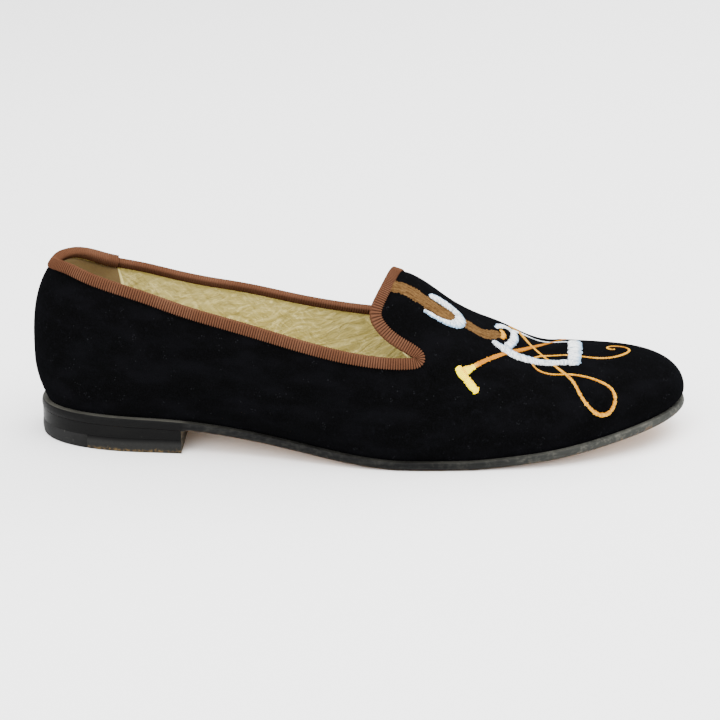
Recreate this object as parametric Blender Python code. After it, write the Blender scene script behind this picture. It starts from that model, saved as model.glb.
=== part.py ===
"""Velvet slipper loafer, right shoe, as separate solids in metres with +Z up.

The toe points towards +X and the inner side of the foot is towards +Y. Every curved piece is
worked out from one surface, the last: last_points(x, girth). There x runs from the back of the
heel along the feather line, and girth runs across, from -1 on the outer side of the foot over
the ridge at 0 to 1 on the inner side.
"""
import bpy
import numpy as np

# The last
LAST_LENGTH = 0.2605        # back of the heel to the toe, along the feather line
BALL_WIDTH = 0.0760         # feather line, across the ball
INSTEP_HEIGHT = 0.0735      # seat to the ridge of the closed last
SIDE_HEIGHT = 0.0190        # seat to the widest line at the heel
HEEL_ROUND = 0.045          # length of the rounded heel end
TOE_ROUND = 0.048           # length of the rounded toe end
TOE_SPRING = 0.0114         # seat at the toe over the seat at the ball
END_POWER = 2.2             # superellipse power of both ends, seen from above
SIDE_SHARE = 0.70           # share of the girth that lies above the widest line

# The walls and layers
UPPER_WALL = 0.0020
GAP = 0.0003                # clearance between pieces that touch
BINDING_WIDTH = 0.0037      # on the velvet
BINDING_INSIDE = 0.0020     # on the lining
BINDING_THICK = 0.0007
FOLD_DROP = 0.6             # share of the binding's thickness between its fold and its shoulder
FOLD_REACH = 0.7            # the shoulder's reach, as a share of the binding's outer face
INSOLE_THICK = 0.0025
INSOLE_CLEARANCE = 0.0005
OUTSOLE_THICK = 0.0036
SOLE_MARGIN = 0.0028        # outsole beyond the feather line
SOLE_TOP_ROUND = 0.0006     # rounding at the ledge
SOLE_EDGE_ROUND = 0.0011    # rounding at the tread
ROUND_MIDDLE = 0.3          # how far the middle of a rounding stands in from both faces, as a share
HEEL_STACK_THICK = 0.0046   # at the back
TOP_LIFT_THICK = 0.0060
HEEL_LENGTH = 0.0605        # back of the sole to the heel breast at the floor
BREAST_LEAN = 0.0042        # how far the breast's top stands in front of its foot
BREAST_BEND = 0.35          # share of the lean that is reached half way up
RUBBER_LENGTH = 0.0215      # back of the sole to the front of the rubber tip
HEEL_EDGE_ROUND = 0.0006

HEEL_RISE = TOP_LIFT_THICK + HEEL_STACK_THICK + 2 * GAP

# How finely the surfaces are cut
COLUMNS = 112
WALL_ROWS = 12
ROW_PULL = 1.5              # how strongly the wall's rows gather towards the feather line
FINE_ROWS = 60
STATIONS = 48
HEEL_STATIONS = 20
END_POINTS = 200            # on the feather line round each end, per side
SIDE_POINTS = 400           # on the feather line between the ends, per side
COLLAR_POINTS = 1600
COLLAR_WRAP = 4             # rows repeated at each end, so that the spline closes smoothly
CORNER_PULL = 0.05          # how strongly columns gather where the collar turns
NEWTON_STEPS = 6
PROBE = 0.0004              # step, in metres, for slopes of the last
SMALLEST_DEPTH = 1e-9       # keeps the ridge itself from a division by nothing
SHARP_ANGLE = np.radians(40)

# Colours, linear
VELVET = (0.004, 0.004, 0.005)
RIBBON = (0.25, 0.11, 0.05)
SOCK = (0.45, 0.38, 0.20)
SOLE_EDGE = (0.03, 0.03, 0.03)
HEEL_BLOCK = (0.012, 0.012, 0.013)
WORN_LIFT = (0.05, 0.03, 0.02)
RUBBER = (0.01, 0.01, 0.01)

# Sections of the last: share of LAST_LENGTH, then shares of the size that each column follows.
# The spring's small negative share bends its spline below the floor's height, where it is cut
# off flat, so that the tread under the ball is flat.
SECTION_COLUMNS = ("along", "centre", "half", "bulge", "inner", "side", "ridge",
                   "heel", "spring", "crest", "plan", "crown")
SECTIONS = np.array([
    # along centre   half  bulge  inner  side  ridge   heel  spring   crest  plan  crown
    [0.00,  0.000, 0.325, 1.105, 1.105, 1.00, 0.970, 1.000,  0.000,  0.000, 2.55, 2.90],
    [0.12,  0.000, 0.325, 1.150, 1.110, 1.00, 1.000, 0.985,  0.000, -0.005, 2.20, 2.60],
    [0.25, -0.025, 0.320, 1.240, 1.090, 1.00, 1.010, 0.850,  0.000, -0.040, 2.10, 2.20],
    [0.40, -0.095, 0.335, 1.240, 1.090, 1.00, 1.010, 0.420,  0.000, -0.090, 2.10, 2.10],
    [0.52, -0.100, 0.415, 1.140, 1.060, 0.84, 0.972, 0.060,  0.000, -0.115, 2.10, 2.00],
    [0.59, -0.070, 0.457, 1.100, 1.045, 0.74, 0.862, 0.000, -0.030, -0.097, 2.10, 2.00],
    [0.64, -0.040, 0.480, 1.080, 1.040, 0.68, 0.720, 0.000, -0.030, -0.075, 2.10, 2.00],
    [0.72,  0.010, 0.503, 1.060, 1.040, 0.60, 0.545, 0.000,  0.080, -0.035, 2.10, 2.00],
    [0.79,  0.035, 0.490, 1.050, 1.040, 0.52, 0.392, 0.000,  0.240,  0.005, 2.10, 2.00],
    [0.88,  0.062, 0.426, 1.045, 1.045, 0.38, 0.420, 0.000,  0.540,  0.050, 2.05, 2.05],
    [1.00,  0.095, 0.365, 1.050, 1.050, 0.20, 0.470, 0.000,  1.000,  0.100, 2.00, 2.00],
])

# The collar's edge from the back round the outer side to the tongue, and back on the inner side
COLLAR = np.array([
    # along  girth
    [0.106,  0.000],
    [0.119, -0.208],
    [0.136, -0.340],
    [0.170, -0.432],
    [0.230, -0.462],
    [0.330, -0.487],
    [0.470, -0.489],
    [0.545, -0.464],
    [0.570, -0.449],
    [0.585, -0.430],
    [0.569, -0.411],
    [0.541, -0.384],
    [0.519, -0.320],
    [0.525, -0.228],
    [0.537, -0.110],
    [0.544,  0.000],
    [0.549,  0.110],
    [0.550,  0.230],
    [0.552,  0.330],
    [0.562,  0.395],
    [0.574,  0.423],
    [0.585,  0.442],
    [0.570,  0.461],
    [0.545,  0.475],
    [0.470,  0.495],
    [0.330,  0.500],
    [0.250,  0.502],
    [0.190,  0.498],
    [0.158,  0.480],
    [0.132,  0.404],
    [0.116,  0.240],
])


def natural_spline(knots, values, where):
    """Natural cubic spline through the knots, read at the places in where."""
    steps = np.diff(knots)
    slopes = np.diff(values) / steps
    matrix = np.eye(len(knots))
    right = np.zeros(len(knots))
    for row in range(1, len(knots) - 1):
        matrix[row, row - 1:row + 2] = (steps[row - 1], 2 * (steps[row - 1] + steps[row]), steps[row])
        right[row] = 6 * (slopes[row] - slopes[row - 1])
    bends = np.linalg.solve(matrix, right)
    cell = np.clip(np.searchsorted(knots, where) - 1, 0, len(steps) - 1)
    step = steps[cell]
    after = (where - knots[cell]) / step
    before = 1 - after
    curve = (before ** 3 - before) * bends[cell] + (after ** 3 - after) * bends[cell + 1]
    return before * values[cell] + after * values[cell + 1] + curve * step ** 2 / 6


def section(name, x):
    """One column of the section table at x, as its share or ratio."""
    values = SECTIONS[:, SECTION_COLUMNS.index(name)]
    return natural_spline(SECTIONS[:, 0], values, np.clip(x / LAST_LENGTH, 0, 1))


def seat_height(x):
    """Height of the sole's upper face: heel rise, the flat tread at the ball, toe spring."""
    rise = section("heel", x) * HEEL_RISE + section("spring", x) * TOE_SPRING
    return OUTSOLE_THICK + np.maximum(rise, 0)


def last_points(x, girth):
    """Points on the last: a profile from the ridge down to the feather line, round each end."""
    ridge_x = np.clip(x, HEEL_ROUND, LAST_LENGTH - TOE_ROUND)
    end = (x - ridge_x) / np.where(x > ridge_x, TOE_ROUND, HEEL_ROUND)
    depth = (np.abs(girth) ** END_POWER + np.abs(end) ** END_POWER) ** (1 / END_POWER)
    safe = np.maximum(depth, SMALLEST_DEPTH)
    foot_x = ridge_x + (x - ridge_x) / safe
    foot_y = section("centre", foot_x) + girth / safe * section("half", foot_x)
    crest_y = section("crest", ridge_x)
    bulge = np.where(girth > 0, section("inner", foot_x), section("bulge", foot_x))
    turn = np.clip(depth / SIDE_SHARE, 0, 1) * np.pi / 2
    below = np.clip((depth - SIDE_SHARE) / (1 - SIDE_SHARE), 0, None)
    above_reach = bulge * np.sin(turn) ** (2 / section("plan", foot_x))
    reach = np.where(depth < SIDE_SHARE, above_reach, bulge - (bulge - 1) * below ** 2)
    seat = seat_height(foot_x)
    side = section("side", foot_x) * SIDE_HEIGHT
    top = seat_height(ridge_x) + section("ridge", x) * INSTEP_HEIGHT
    above = seat + side + (top - seat - side) * np.cos(turn) ** (2 / section("crown", foot_x))
    height = np.where(depth < SIDE_SHARE, above, seat + side * (1 - below))
    plan_x = ridge_x + (foot_x - ridge_x) * reach
    plan_y = (crest_y + (foot_y - crest_y) * reach) * BALL_WIDTH
    return np.stack([plan_x, plan_y, height], axis=-1)


def last_slopes(x, girth):
    """The surface's two tangents, per metre of x and per unit of girth."""
    girth_step = PROBE / BALL_WIDTH
    along = (last_points(x + PROBE, girth) - last_points(x - PROBE, girth)) / (2 * PROBE)
    across = (last_points(x, girth + girth_step) - last_points(x, girth - girth_step)) / (2 * girth_step)
    return along, across


def unit(vectors):
    """The same directions at length 1."""
    return vectors / np.linalg.norm(vectors, axis=-1, keepdims=True)


def offset_points(places, distance):
    """Points that stand a distance off the last, outwards where it is positive."""
    x, girth = places[..., 0], places[..., 1]
    along, across = last_slopes(x, girth)
    outwards = unit(np.cross(along, across))
    return last_points(x, girth) + np.asarray(distance)[..., None] * outwards


def loop_shares(points):
    """Share of a closed loop's length at each of its points, with the closing 1 at the end."""
    steps = np.linalg.norm(np.roll(points, -1, axis=0) - points, axis=1)
    return np.concatenate([[0], np.cumsum(steps)]) / steps.sum()


def read_loop(points, shares, where):
    """A closed loop read at shares of its length."""
    closed = np.vstack([points, points[:1]])
    return np.stack([np.interp(where, shares, closed[:, axis]) for axis in range(closed.shape[1])], axis=1)


def nearest_places(points, guess):
    """Places on the last nearest to points, by Newton steps from a guess."""
    places = guess.copy()
    for _ in range(NEWTON_STEPS):
        along, across = last_slopes(places[:, 0], places[:, 1])
        missing = points - last_points(places[:, 0], places[:, 1])
        places += np.einsum("nij,nj->ni", np.linalg.pinv(np.stack([along, across], axis=2)), missing)
    return places


def collar_places():
    """The collar's edge as a fine closed curve of places on the last.

    A spline runs through the rows' points in space, because the last's own grid bends sharply
    where its ends begin, and the places are then found under it.
    """
    rows = COLLAR * (LAST_LENGTH, 1)
    padded = np.vstack([rows[-COLLAR_WRAP:], rows, rows[:COLLAR_WRAP + 1]])
    points = last_points(padded[:, 0], padded[:, 1])
    chords = np.linalg.norm(np.diff(points, axis=0), axis=1)
    knots = np.concatenate([[0], np.cumsum(np.sqrt(chords))])
    where = np.linspace(knots[COLLAR_WRAP], knots[COLLAR_WRAP + len(rows)], COLLAR_POINTS, endpoint=False)
    curve = np.stack([natural_spline(knots, points[:, axis], where) for axis in range(3)], axis=1)
    guess = np.stack([np.interp(where, knots, padded[:, axis]) for axis in range(2)], axis=1)
    return nearest_places(curve, guess)


def feather_places():
    """The feather line from the back of the heel round the outer side, as places on the last."""
    angle = np.linspace(0, np.pi / 2, END_POINTS, endpoint=False)
    run = np.linspace(HEEL_ROUND, LAST_LENGTH - TOE_ROUND, SIDE_POINTS, endpoint=False)
    fall, rise = np.cos(angle) ** (2 / END_POWER), np.sin(angle) ** (2 / END_POWER)
    heel = np.stack([HEEL_ROUND * (1 - fall), rise], axis=1)
    side = np.stack([run, np.ones_like(run)], axis=1)
    toe = np.stack([LAST_LENGTH - TOE_ROUND + TOE_ROUND * rise, fall], axis=1)
    half = np.vstack([heel, side, toe])
    tip = np.array([[LAST_LENGTH, 0.0]])
    return np.vstack([half * (1, -1), tip, half[:0:-1]])


def columns():
    """Matching places on the collar and the feather line, closer where the collar turns."""
    collar = collar_places()
    points = last_points(collar[:, 0], collar[:, 1])
    shares = loop_shares(points)
    heading = unit(np.roll(points, -1, axis=0) - points)
    turning = np.linalg.norm(heading - np.roll(heading, 1, axis=0), axis=1)
    weight = np.concatenate([[0], np.cumsum(np.diff(shares) + CORNER_PULL * turning)])
    evenly = np.linspace(0, 1, COLUMNS, endpoint=False)
    where = np.interp(evenly, weight / weight[-1], shares)
    feather = feather_places()
    feather_shares = loop_shares(last_points(feather[:, 0], feather[:, 1]))
    return (read_loop(collar, shares, where),
            read_loop(feather, feather_shares, (where + evenly) / 2))


def away_from_opening(collar):
    """Directions along the last, square to the collar's edge and away from the opening."""
    points = last_points(collar[:, 0], collar[:, 1])
    along, across = last_slopes(collar[:, 0], collar[:, 1])
    heading = unit(np.roll(points, -1, axis=0) - np.roll(points, 1, axis=0))
    return unit(np.cross(heading, np.cross(along, across)))


def places_beyond(collar, away, distance):
    """Places a distance from the collar's edge, away from the opening where it is positive."""
    points = last_points(collar[:, 0], collar[:, 1]) + away * distance
    return nearest_places(points, collar)


def plan_outline(offset):
    """The feather line seen from above, moved outwards by offset, as a fine closed loop."""
    places = feather_places()
    loop = last_points(places[:, 0], places[:, 1])[:, :2]
    heading = unit(np.roll(loop, -1, axis=0) - np.roll(loop, 1, axis=0))
    return loop + offset * np.stack([heading[:, 1], -heading[:, 0]], axis=1)


def station_ring(offset, height, stations=STATIONS, start=None, end=None):
    """A ring of the sole at stations that match from side to side.

    start and end, where they are given, cut it off square at those distances from the back of
    the sole's own outline. Elsewhere the rounded end stays, closed by one short straight edge.
    height is z, or a function that gives z for each x.
    """
    loop = plan_outline(offset)
    turn = int(loop[:, 0].argmax())
    back = plan_outline(SOLE_MARGIN)[:, 0].min()
    low = loop[:, 0].min() if start is None else back + start
    high = loop[:, 0].max() if end is None else back + end
    angles = np.pi * (np.arange(stations) + 0.5) / stations
    x = low + (high - low) * (1 - np.cos(angles)) / 2
    if start is not None:
        x[0] = low
    if end is not None:
        x[-1] = high
    z = height(x) if callable(height) else np.full(stations, height)
    sides = []
    for side in (loop[:turn + 1], loop[turn:]):
        order = np.argsort(side[:, 0])
        sides.append(np.stack([x, np.interp(x, side[order, 0], side[order, 1]), z], axis=1))
    return np.vstack([sides[0], sides[1][::-1]])


def make_object(name, points, faces, colour, roughness):
    """A mesh object with its own material."""
    mesh = bpy.data.meshes.new(name)
    mesh.from_pydata(points.tolist(), [], faces)
    material = bpy.data.materials.new(name)
    material.use_nodes = True
    shader = material.node_tree.nodes["Principled BSDF"]
    shader.inputs["Base Color"].default_value = (*colour, 1)
    shader.inputs["Roughness"].default_value = roughness
    shader.inputs["Metallic"].default_value = 0
    mesh.materials.append(material)
    mesh.shade_smooth()
    mesh.set_sharp_from_angle(angle=SHARP_ANGLE)
    piece = bpy.data.objects.new(name, mesh)
    bpy.context.scene.collection.objects.link(piece)
    return piece


def ring_faces(rings, count, closed):
    """Quads between neighbouring rings of count points, and from the last ring to the first."""
    faces = []
    for ring in range(rings if closed else rings - 1):
        here, there = ring * count, (ring + 1) % rings * count
        for column in range(count):
            beside = (column + 1) % count
            faces.append((here + column, there + column, there + beside, here + beside))
    return faces


def tube(name, rings, colour, roughness):
    """A closed body whose rings run round its section and back to the first."""
    faces = ring_faces(len(rings), len(rings[0]), closed=True)
    return make_object(name, np.vstack(rings), faces, colour, roughness)


def slab(name, rings, colour, roughness):
    """A closed body of rings from the top down, with rungs across its top and bottom."""
    count = len(rings[0])
    faces = ring_faces(len(rings), count, closed=False)
    bottom = (len(rings) - 1) * count
    for rung in range(count // 2 - 1):
        left, right = rung, count - 1 - rung
        faces.append((left, left + 1, right - 1, right))
        faces.append((bottom + right, bottom + right - 1, bottom + left + 1, bottom + left))
    return make_object(name, np.vstack(rings), faces, colour, roughness)


def wall_rows(edge, feather):
    """Rows of places from the binding's edge to the feather line, closer towards the feather line.

    They are spaced by length on the last itself, column by column.
    """
    shares = np.linspace(0, 1, FINE_ROWS)
    straight = edge + (feather - edge) * shares[:, None, None]
    points = last_points(straight[..., 0], straight[..., 1])
    steps = np.linalg.norm(np.diff(points, axis=0), axis=2)
    lengths = np.vstack([np.zeros(COLUMNS), np.cumsum(steps, axis=0)])
    wanted = 1 - (1 - np.arange(1, WALL_ROWS) / WALL_ROWS) ** ROW_PULL
    found = np.stack([np.interp(wanted, lengths[:, column] / lengths[-1, column], shares)
                      for column in range(COLUMNS)], axis=1)
    return list(edge + (feather - edge) * found[..., None])


def make_upper(collar, feather, away):
    """The hollow upper: outer and inner wall between the collar and the feather line."""
    edge = places_beyond(collar, away, BINDING_WIDTH)
    rows = [collar, edge, *wall_rows(edge, feather)]
    outer = [offset_points(row, 0) for row in rows]
    inner = [offset_points(row, -UPPER_WALL) for row in rows]
    foot = last_points(feather[:, 0], feather[:, 1])
    heading = unit(np.roll(foot, -1, axis=0) - np.roll(foot, 1, axis=0))
    inwards = unit(np.stack([-heading[:, 1], heading[:, 0], np.zeros(COLUMNS)], axis=1))
    for wall, shift in ((outer, 0), (inner, UPPER_WALL)):
        hem = foot + inwards * shift
        hem[:, 2] = seat_height(hem[:, 0]) + GAP
        wall.append(hem)
    return tube("upper", outer + inner[::-1], VELVET, 0.9)


def make_binding(collar, away):
    """Ribbon folded over the collar's edge: a channel with the wall of the upper inside it."""
    near, far = GAP, GAP + BINDING_THICK
    deep = -UPPER_WALL
    width, inside, fold = BINDING_WIDTH, BINDING_INSIDE, -GAP
    crown = fold - BINDING_THICK
    shoulder = fold - BINDING_THICK * FOLD_DROP
    reach = far * FOLD_REACH
    profile = (
        (crown, deep / 2), (shoulder, reach), (fold, far), (width, far),
        (width, near), (fold, near), (fold, deep - near), (inside, deep - near),
        (inside, deep - far), (fold, deep - far), (shoulder, deep - reach),
    )
    rings = [offset_points(places_beyond(collar, away, run), np.full(COLUMNS, rise))
             for run, rise in profile]
    return tube("topline_binding", rings, RIBBON, 0.7)


def make_insole():
    """The insole, inside the upper's hem and on the outsole."""
    offset = -UPPER_WALL - INSOLE_CLEARANCE
    heights = (GAP + INSOLE_THICK, GAP)
    rings = [station_ring(offset, lambda x, h=height: seat_height(x) + h) for height in heights]
    return slab("insole", rings, SOCK, 0.6)


def make_outsole():
    """The outsole with its rounded ledge and tread edge; the seat's curve is its upper face."""
    middle = SOLE_EDGE_ROUND * ROUND_MIDDLE
    profile = (
        (SOLE_MARGIN - SOLE_TOP_ROUND, 0),
        (SOLE_MARGIN, -SOLE_TOP_ROUND),
        (SOLE_MARGIN, -OUTSOLE_THICK + SOLE_EDGE_ROUND),
        (SOLE_MARGIN - middle, -OUTSOLE_THICK + middle),
        (SOLE_MARGIN - SOLE_EDGE_ROUND, -OUTSOLE_THICK),
    )
    rings = [station_ring(offset, lambda x, d=drop: seat_height(x) + d) for offset, drop in profile]
    return slab("outsole", rings, SOLE_EDGE, 0.45)


def make_heel_stack():
    """The heel block between the outsole and the bottom layer."""
    base = TOP_LIFT_THICK + GAP

    def under_sole(x):
        return seat_height(x) - OUTSOLE_THICK - GAP

    def half_way(x):
        return (under_sole(x) + base) / 2

    profile = (
        (SOLE_MARGIN - SOLE_EDGE_ROUND, 1, under_sole),
        (SOLE_MARGIN, BREAST_BEND, half_way),
        (SOLE_MARGIN, 0, base + HEEL_EDGE_ROUND),
        (SOLE_MARGIN - HEEL_EDGE_ROUND, 0, base),
    )
    rings = [station_ring(offset, height, HEEL_STATIONS, end=HEEL_LENGTH + lean * BREAST_LEAN)
             for offset, lean, height in profile]
    return slab("heel_stack", rings, HEEL_BLOCK, 0.4)


def make_lift(name, start, end, colour, roughness):
    """One part of the heel's bottom layer, from start to end along the heel."""
    profile = (
        (SOLE_MARGIN - HEEL_EDGE_ROUND, TOP_LIFT_THICK),
        (SOLE_MARGIN, TOP_LIFT_THICK - HEEL_EDGE_ROUND),
        (SOLE_MARGIN, HEEL_EDGE_ROUND),
        (SOLE_MARGIN - HEEL_EDGE_ROUND, 0),
    )
    rings = [station_ring(offset, height, HEEL_STATIONS, start, end) for offset, height in profile]
    return slab(name, rings, colour, roughness)


def stand_on_centre(pieces):
    """Move all pieces so that the origin is under the middle of the whole shoe."""
    corners = np.array([corner for piece in pieces for corner in piece.bound_box])
    middle = (corners.min(axis=0) + corners.max(axis=0)) / 2
    for piece in pieces:
        piece.location = (-middle[0], -middle[1], 0)


def main():
    """Build every piece, then stand the shoe on the middle of its own box."""
    for old in list(bpy.data.objects):
        bpy.data.objects.remove(old)
    collar, feather = columns()
    away = away_from_opening(collar)
    pieces = [
        make_upper(collar, feather, away),
        make_binding(collar, away),
        make_insole(),
        make_outsole(),
        make_heel_stack(),
        make_lift("top_lift", RUBBER_LENGTH + GAP, HEEL_LENGTH, WORN_LIFT, 0.6),
        make_lift("rubber_tip", None, RUBBER_LENGTH, RUBBER, 0.5),
    ]
    stand_on_centre(pieces)


main()
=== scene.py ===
"""Looks of a velvet slipper loafer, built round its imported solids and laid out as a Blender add-on.

Every piece of the upper is worked out from the last, the same surface that the part's source
uses. A place on it is a pair: x runs from the back of the heel to the toe along the feather line,
and girth from -1 on the outer side over the ridge at 0 to 1 on the inner side.
"""

import bpy
import numpy as np
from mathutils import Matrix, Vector


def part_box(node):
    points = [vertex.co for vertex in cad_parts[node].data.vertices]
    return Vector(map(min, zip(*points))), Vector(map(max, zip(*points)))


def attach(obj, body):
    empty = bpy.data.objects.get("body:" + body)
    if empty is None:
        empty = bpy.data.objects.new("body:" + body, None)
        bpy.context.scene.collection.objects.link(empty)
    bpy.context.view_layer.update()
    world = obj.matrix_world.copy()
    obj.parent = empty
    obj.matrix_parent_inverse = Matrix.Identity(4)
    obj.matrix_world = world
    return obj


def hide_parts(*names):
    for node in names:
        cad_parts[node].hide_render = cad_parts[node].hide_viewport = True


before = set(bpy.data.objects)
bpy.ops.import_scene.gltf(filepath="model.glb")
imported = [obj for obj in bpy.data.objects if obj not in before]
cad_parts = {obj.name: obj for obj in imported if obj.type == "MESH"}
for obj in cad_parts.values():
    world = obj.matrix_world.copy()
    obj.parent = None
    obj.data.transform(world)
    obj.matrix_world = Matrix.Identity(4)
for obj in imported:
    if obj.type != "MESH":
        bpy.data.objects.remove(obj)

bl_info = {
    "name": "Velvet Slipper Loafer",
    "version": (1, 0, 0),
    "blender": (4, 5, 0),
    "location": "View3D > Sidebar > Slipper",
    "description": "Velvet, ribbon, lining, embroidery and sole round a slipper loafer's packed solids",
    "category": "Object",
}

BODY = "root"
MM = 0.001

# The last, as in the part's source but for the ridge at the tongue, which is 0.9 mm lower
LAST_LENGTH = 0.2605
BALL_WIDTH = 0.0760
INSTEP_HEIGHT = 0.0735
SIDE_HEIGHT = 0.0190
HEEL_ROUND = 0.045
TOE_ROUND = 0.048
TOE_SPRING = 0.0114
END_POWER = 2.2
SIDE_SHARE = 0.70
UPPER_WALL = 0.0020
GAP = 0.0003
BINDING_WIDTH = 0.0037
BINDING_INSIDE = 0.0020
BINDING_THICK = 0.0007
INSOLE_THICK = 0.0025
INSOLE_CLEARANCE = 0.0005
OUTSOLE_THICK = 0.0036
SOLE_MARGIN = 0.0028
HEEL_STACK_THICK = 0.0046
TOP_LIFT_THICK = 0.0060
HEEL_LENGTH = 0.0605
BREAST_LEAN = 0.0042
BREAST_BEND = 0.35
RUBBER_LENGTH = 0.0215
HEEL_RISE = TOP_LIFT_THICK + HEEL_STACK_THICK + 2 * GAP

PROBE = 0.0004
SMALLEST_DEPTH = 1e-9
NEWTON_STEPS = 6
COLLAR_WRAP = 4

# Sections of the last: where along it, then shares of the sizes above and powers of its curves
SECTION_COLUMNS = ("along", "centre", "half", "bulge", "inner", "side", "ridge",
                   "heel", "spring", "crest", "plan", "crown")
SECTIONS = np.array([
    [0.00,  0.000, 0.325, 1.105, 1.105, 1.00, 0.970, 1.000,  0.000,  0.000, 2.55, 2.90],
    [0.12,  0.000, 0.325, 1.150, 1.110, 1.00, 1.000, 0.985,  0.000, -0.005, 2.20, 2.60],
    [0.25, -0.025, 0.320, 1.240, 1.090, 1.00, 1.010, 0.850,  0.000, -0.040, 2.10, 2.20],
    [0.40, -0.095, 0.335, 1.240, 1.090, 1.00, 1.010, 0.420,  0.000, -0.090, 2.10, 2.10],
    [0.52, -0.100, 0.415, 1.140, 1.060, 0.84, 0.960, 0.060,  0.000, -0.115, 2.10, 2.00],
    [0.59, -0.070, 0.457, 1.100, 1.045, 0.74, 0.862, 0.000, -0.030, -0.097, 2.10, 2.00],
    [0.64, -0.040, 0.480, 1.080, 1.040, 0.68, 0.720, 0.000, -0.030, -0.075, 2.10, 2.00],
    [0.72,  0.010, 0.503, 1.060, 1.040, 0.60, 0.545, 0.000,  0.080, -0.035, 2.10, 2.00],
    [0.79,  0.035, 0.490, 1.050, 1.040, 0.52, 0.392, 0.000,  0.240,  0.005, 2.10, 2.00],
    [0.88,  0.062, 0.426, 1.045, 1.045, 0.38, 0.420, 0.000,  0.540,  0.050, 2.05, 2.05],
    [1.00,  0.095, 0.365, 1.050, 1.050, 0.20, 0.470, 0.000,  1.000,  0.100, 2.00, 2.00],
])

# The collar's edge from the back round the outer side: share of the last's length, girth
COLLAR = np.array([
    [0.106, 0.000], [0.119, -0.208], [0.136, -0.340], [0.170, -0.432], [0.230, -0.462], [0.330, -0.487],
    [0.470, -0.489], [0.545, -0.464], [0.570, -0.449], [0.585, -0.430], [0.569, -0.411],
    [0.541, -0.384], [0.519, -0.320], [0.525, -0.228], [0.537, -0.110], [0.544, 0.000], [0.549, 0.110],
    [0.550, 0.230], [0.552, 0.330], [0.562, 0.395], [0.574, 0.423], [0.585, 0.442], [0.570, 0.461],
    [0.545, 0.475], [0.470, 0.495], [0.330, 0.500], [0.250, 0.502], [0.190, 0.498], [0.158, 0.480],
    [0.132, 0.404], [0.116, 0.240],
])


def natural_spline(knots, values, where):
    """Natural cubic spline through the knots, read at the places in where."""
    steps = np.diff(knots)
    slopes = np.diff(values) / steps
    matrix = np.eye(len(knots))
    right = np.zeros(len(knots))
    for row in range(1, len(knots) - 1):
        matrix[row, row - 1:row + 2] = (steps[row - 1], 2 * (steps[row - 1] + steps[row]), steps[row])
        right[row] = 6 * (slopes[row] - slopes[row - 1])
    bends = np.linalg.solve(matrix, right)
    cell = np.clip(np.searchsorted(knots, where) - 1, 0, len(steps) - 1)
    step = steps[cell]
    after = (where - knots[cell]) / step
    before = 1 - after
    curve = (before ** 3 - before) * bends[cell] + (after ** 3 - after) * bends[cell + 1]
    return before * values[cell] + after * values[cell + 1] + curve * step ** 2 / 6


def section(name, x):
    """One column of the section table at x, as its share or ratio."""
    values = SECTIONS[:, SECTION_COLUMNS.index(name)]
    return natural_spline(SECTIONS[:, 0], values, np.clip(x / LAST_LENGTH, 0, 1))


def seat_height(x):
    """Height of the sole's upper face: heel rise, the flat tread at the ball, toe spring."""
    rise = section("heel", x) * HEEL_RISE + section("spring", x) * TOE_SPRING
    return OUTSOLE_THICK + np.maximum(rise, 0)


def spline_through(knots, points, where):
    """A natural cubic spline through points of any dimension, one column at a time."""
    return np.stack([natural_spline(knots, column, where) for column in points.T], axis=1)


def read_at(points, knots, where):
    """Points of any dimension read between their knots along straight lines."""
    return np.stack([np.interp(where, knots, column) for column in points.T], axis=1)


def last_points(places):
    """Points on the last: a superellipse from the ridge to the widest line, a parabola below it."""
    x, girth = places[..., 0], places[..., 1]
    ridge_x = np.clip(x, HEEL_ROUND, LAST_LENGTH - TOE_ROUND)
    end = (x - ridge_x) / np.where(x > ridge_x, TOE_ROUND, HEEL_ROUND)
    depth = (np.abs(girth) ** END_POWER + np.abs(end) ** END_POWER) ** (1 / END_POWER)
    safe = np.maximum(depth, SMALLEST_DEPTH)
    foot_x = ridge_x + (x - ridge_x) / safe
    foot_y = section("centre", foot_x) + girth / safe * section("half", foot_x)
    crest_y = section("crest", ridge_x)
    bulge = np.where(girth > 0, section("inner", foot_x), section("bulge", foot_x))
    turn = np.clip(depth / SIDE_SHARE, 0, 1) * np.pi / 2
    below = np.clip((depth - SIDE_SHARE) / (1 - SIDE_SHARE), 0, None)
    above_reach = bulge * np.sin(turn) ** (2 / section("plan", foot_x))
    reach = np.where(depth < SIDE_SHARE, above_reach, bulge - (bulge - 1) * below ** 2)
    seat = seat_height(foot_x)
    side = section("side", foot_x) * SIDE_HEIGHT
    top = seat_height(ridge_x) + section("ridge", x) * INSTEP_HEIGHT
    above = seat + side + (top - seat - side) * np.cos(turn) ** (2 / section("crown", foot_x))
    height = np.where(depth < SIDE_SHARE, above, seat + side * (1 - below))
    plan_x = ridge_x + (foot_x - ridge_x) * reach
    plan_y = (crest_y + (foot_y - crest_y) * reach) * BALL_WIDTH
    return np.stack([plan_x, plan_y, height], axis=-1)


def last_slopes(places):
    """The surface's two tangents, per metre of x and per unit of girth."""
    girth_step = PROBE / BALL_WIDTH
    ahead, aside = np.array([PROBE, 0.0]), np.array([0.0, girth_step])
    along = (last_points(places + ahead) - last_points(places - ahead)) / (2 * PROBE)
    across = (last_points(places + aside) - last_points(places - aside)) / (2 * girth_step)
    return along, across


def unit(vectors):
    """The same directions at length 1."""
    return vectors / np.linalg.norm(vectors, axis=-1, keepdims=True)


def outwards(places):
    """Directions square to the last and away from the foot."""
    return unit(np.cross(*last_slopes(places)))


def offset_points(places, distance):
    """Points that stand a distance off the last, outwards where it is positive."""
    return last_points(places) + np.asarray(distance)[..., None] * outwards(places)


def loop_steps(points):
    """Length from each point of a closed loop to the next."""
    return np.linalg.norm(np.roll(points, -1, axis=0) - points, axis=1)


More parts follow.
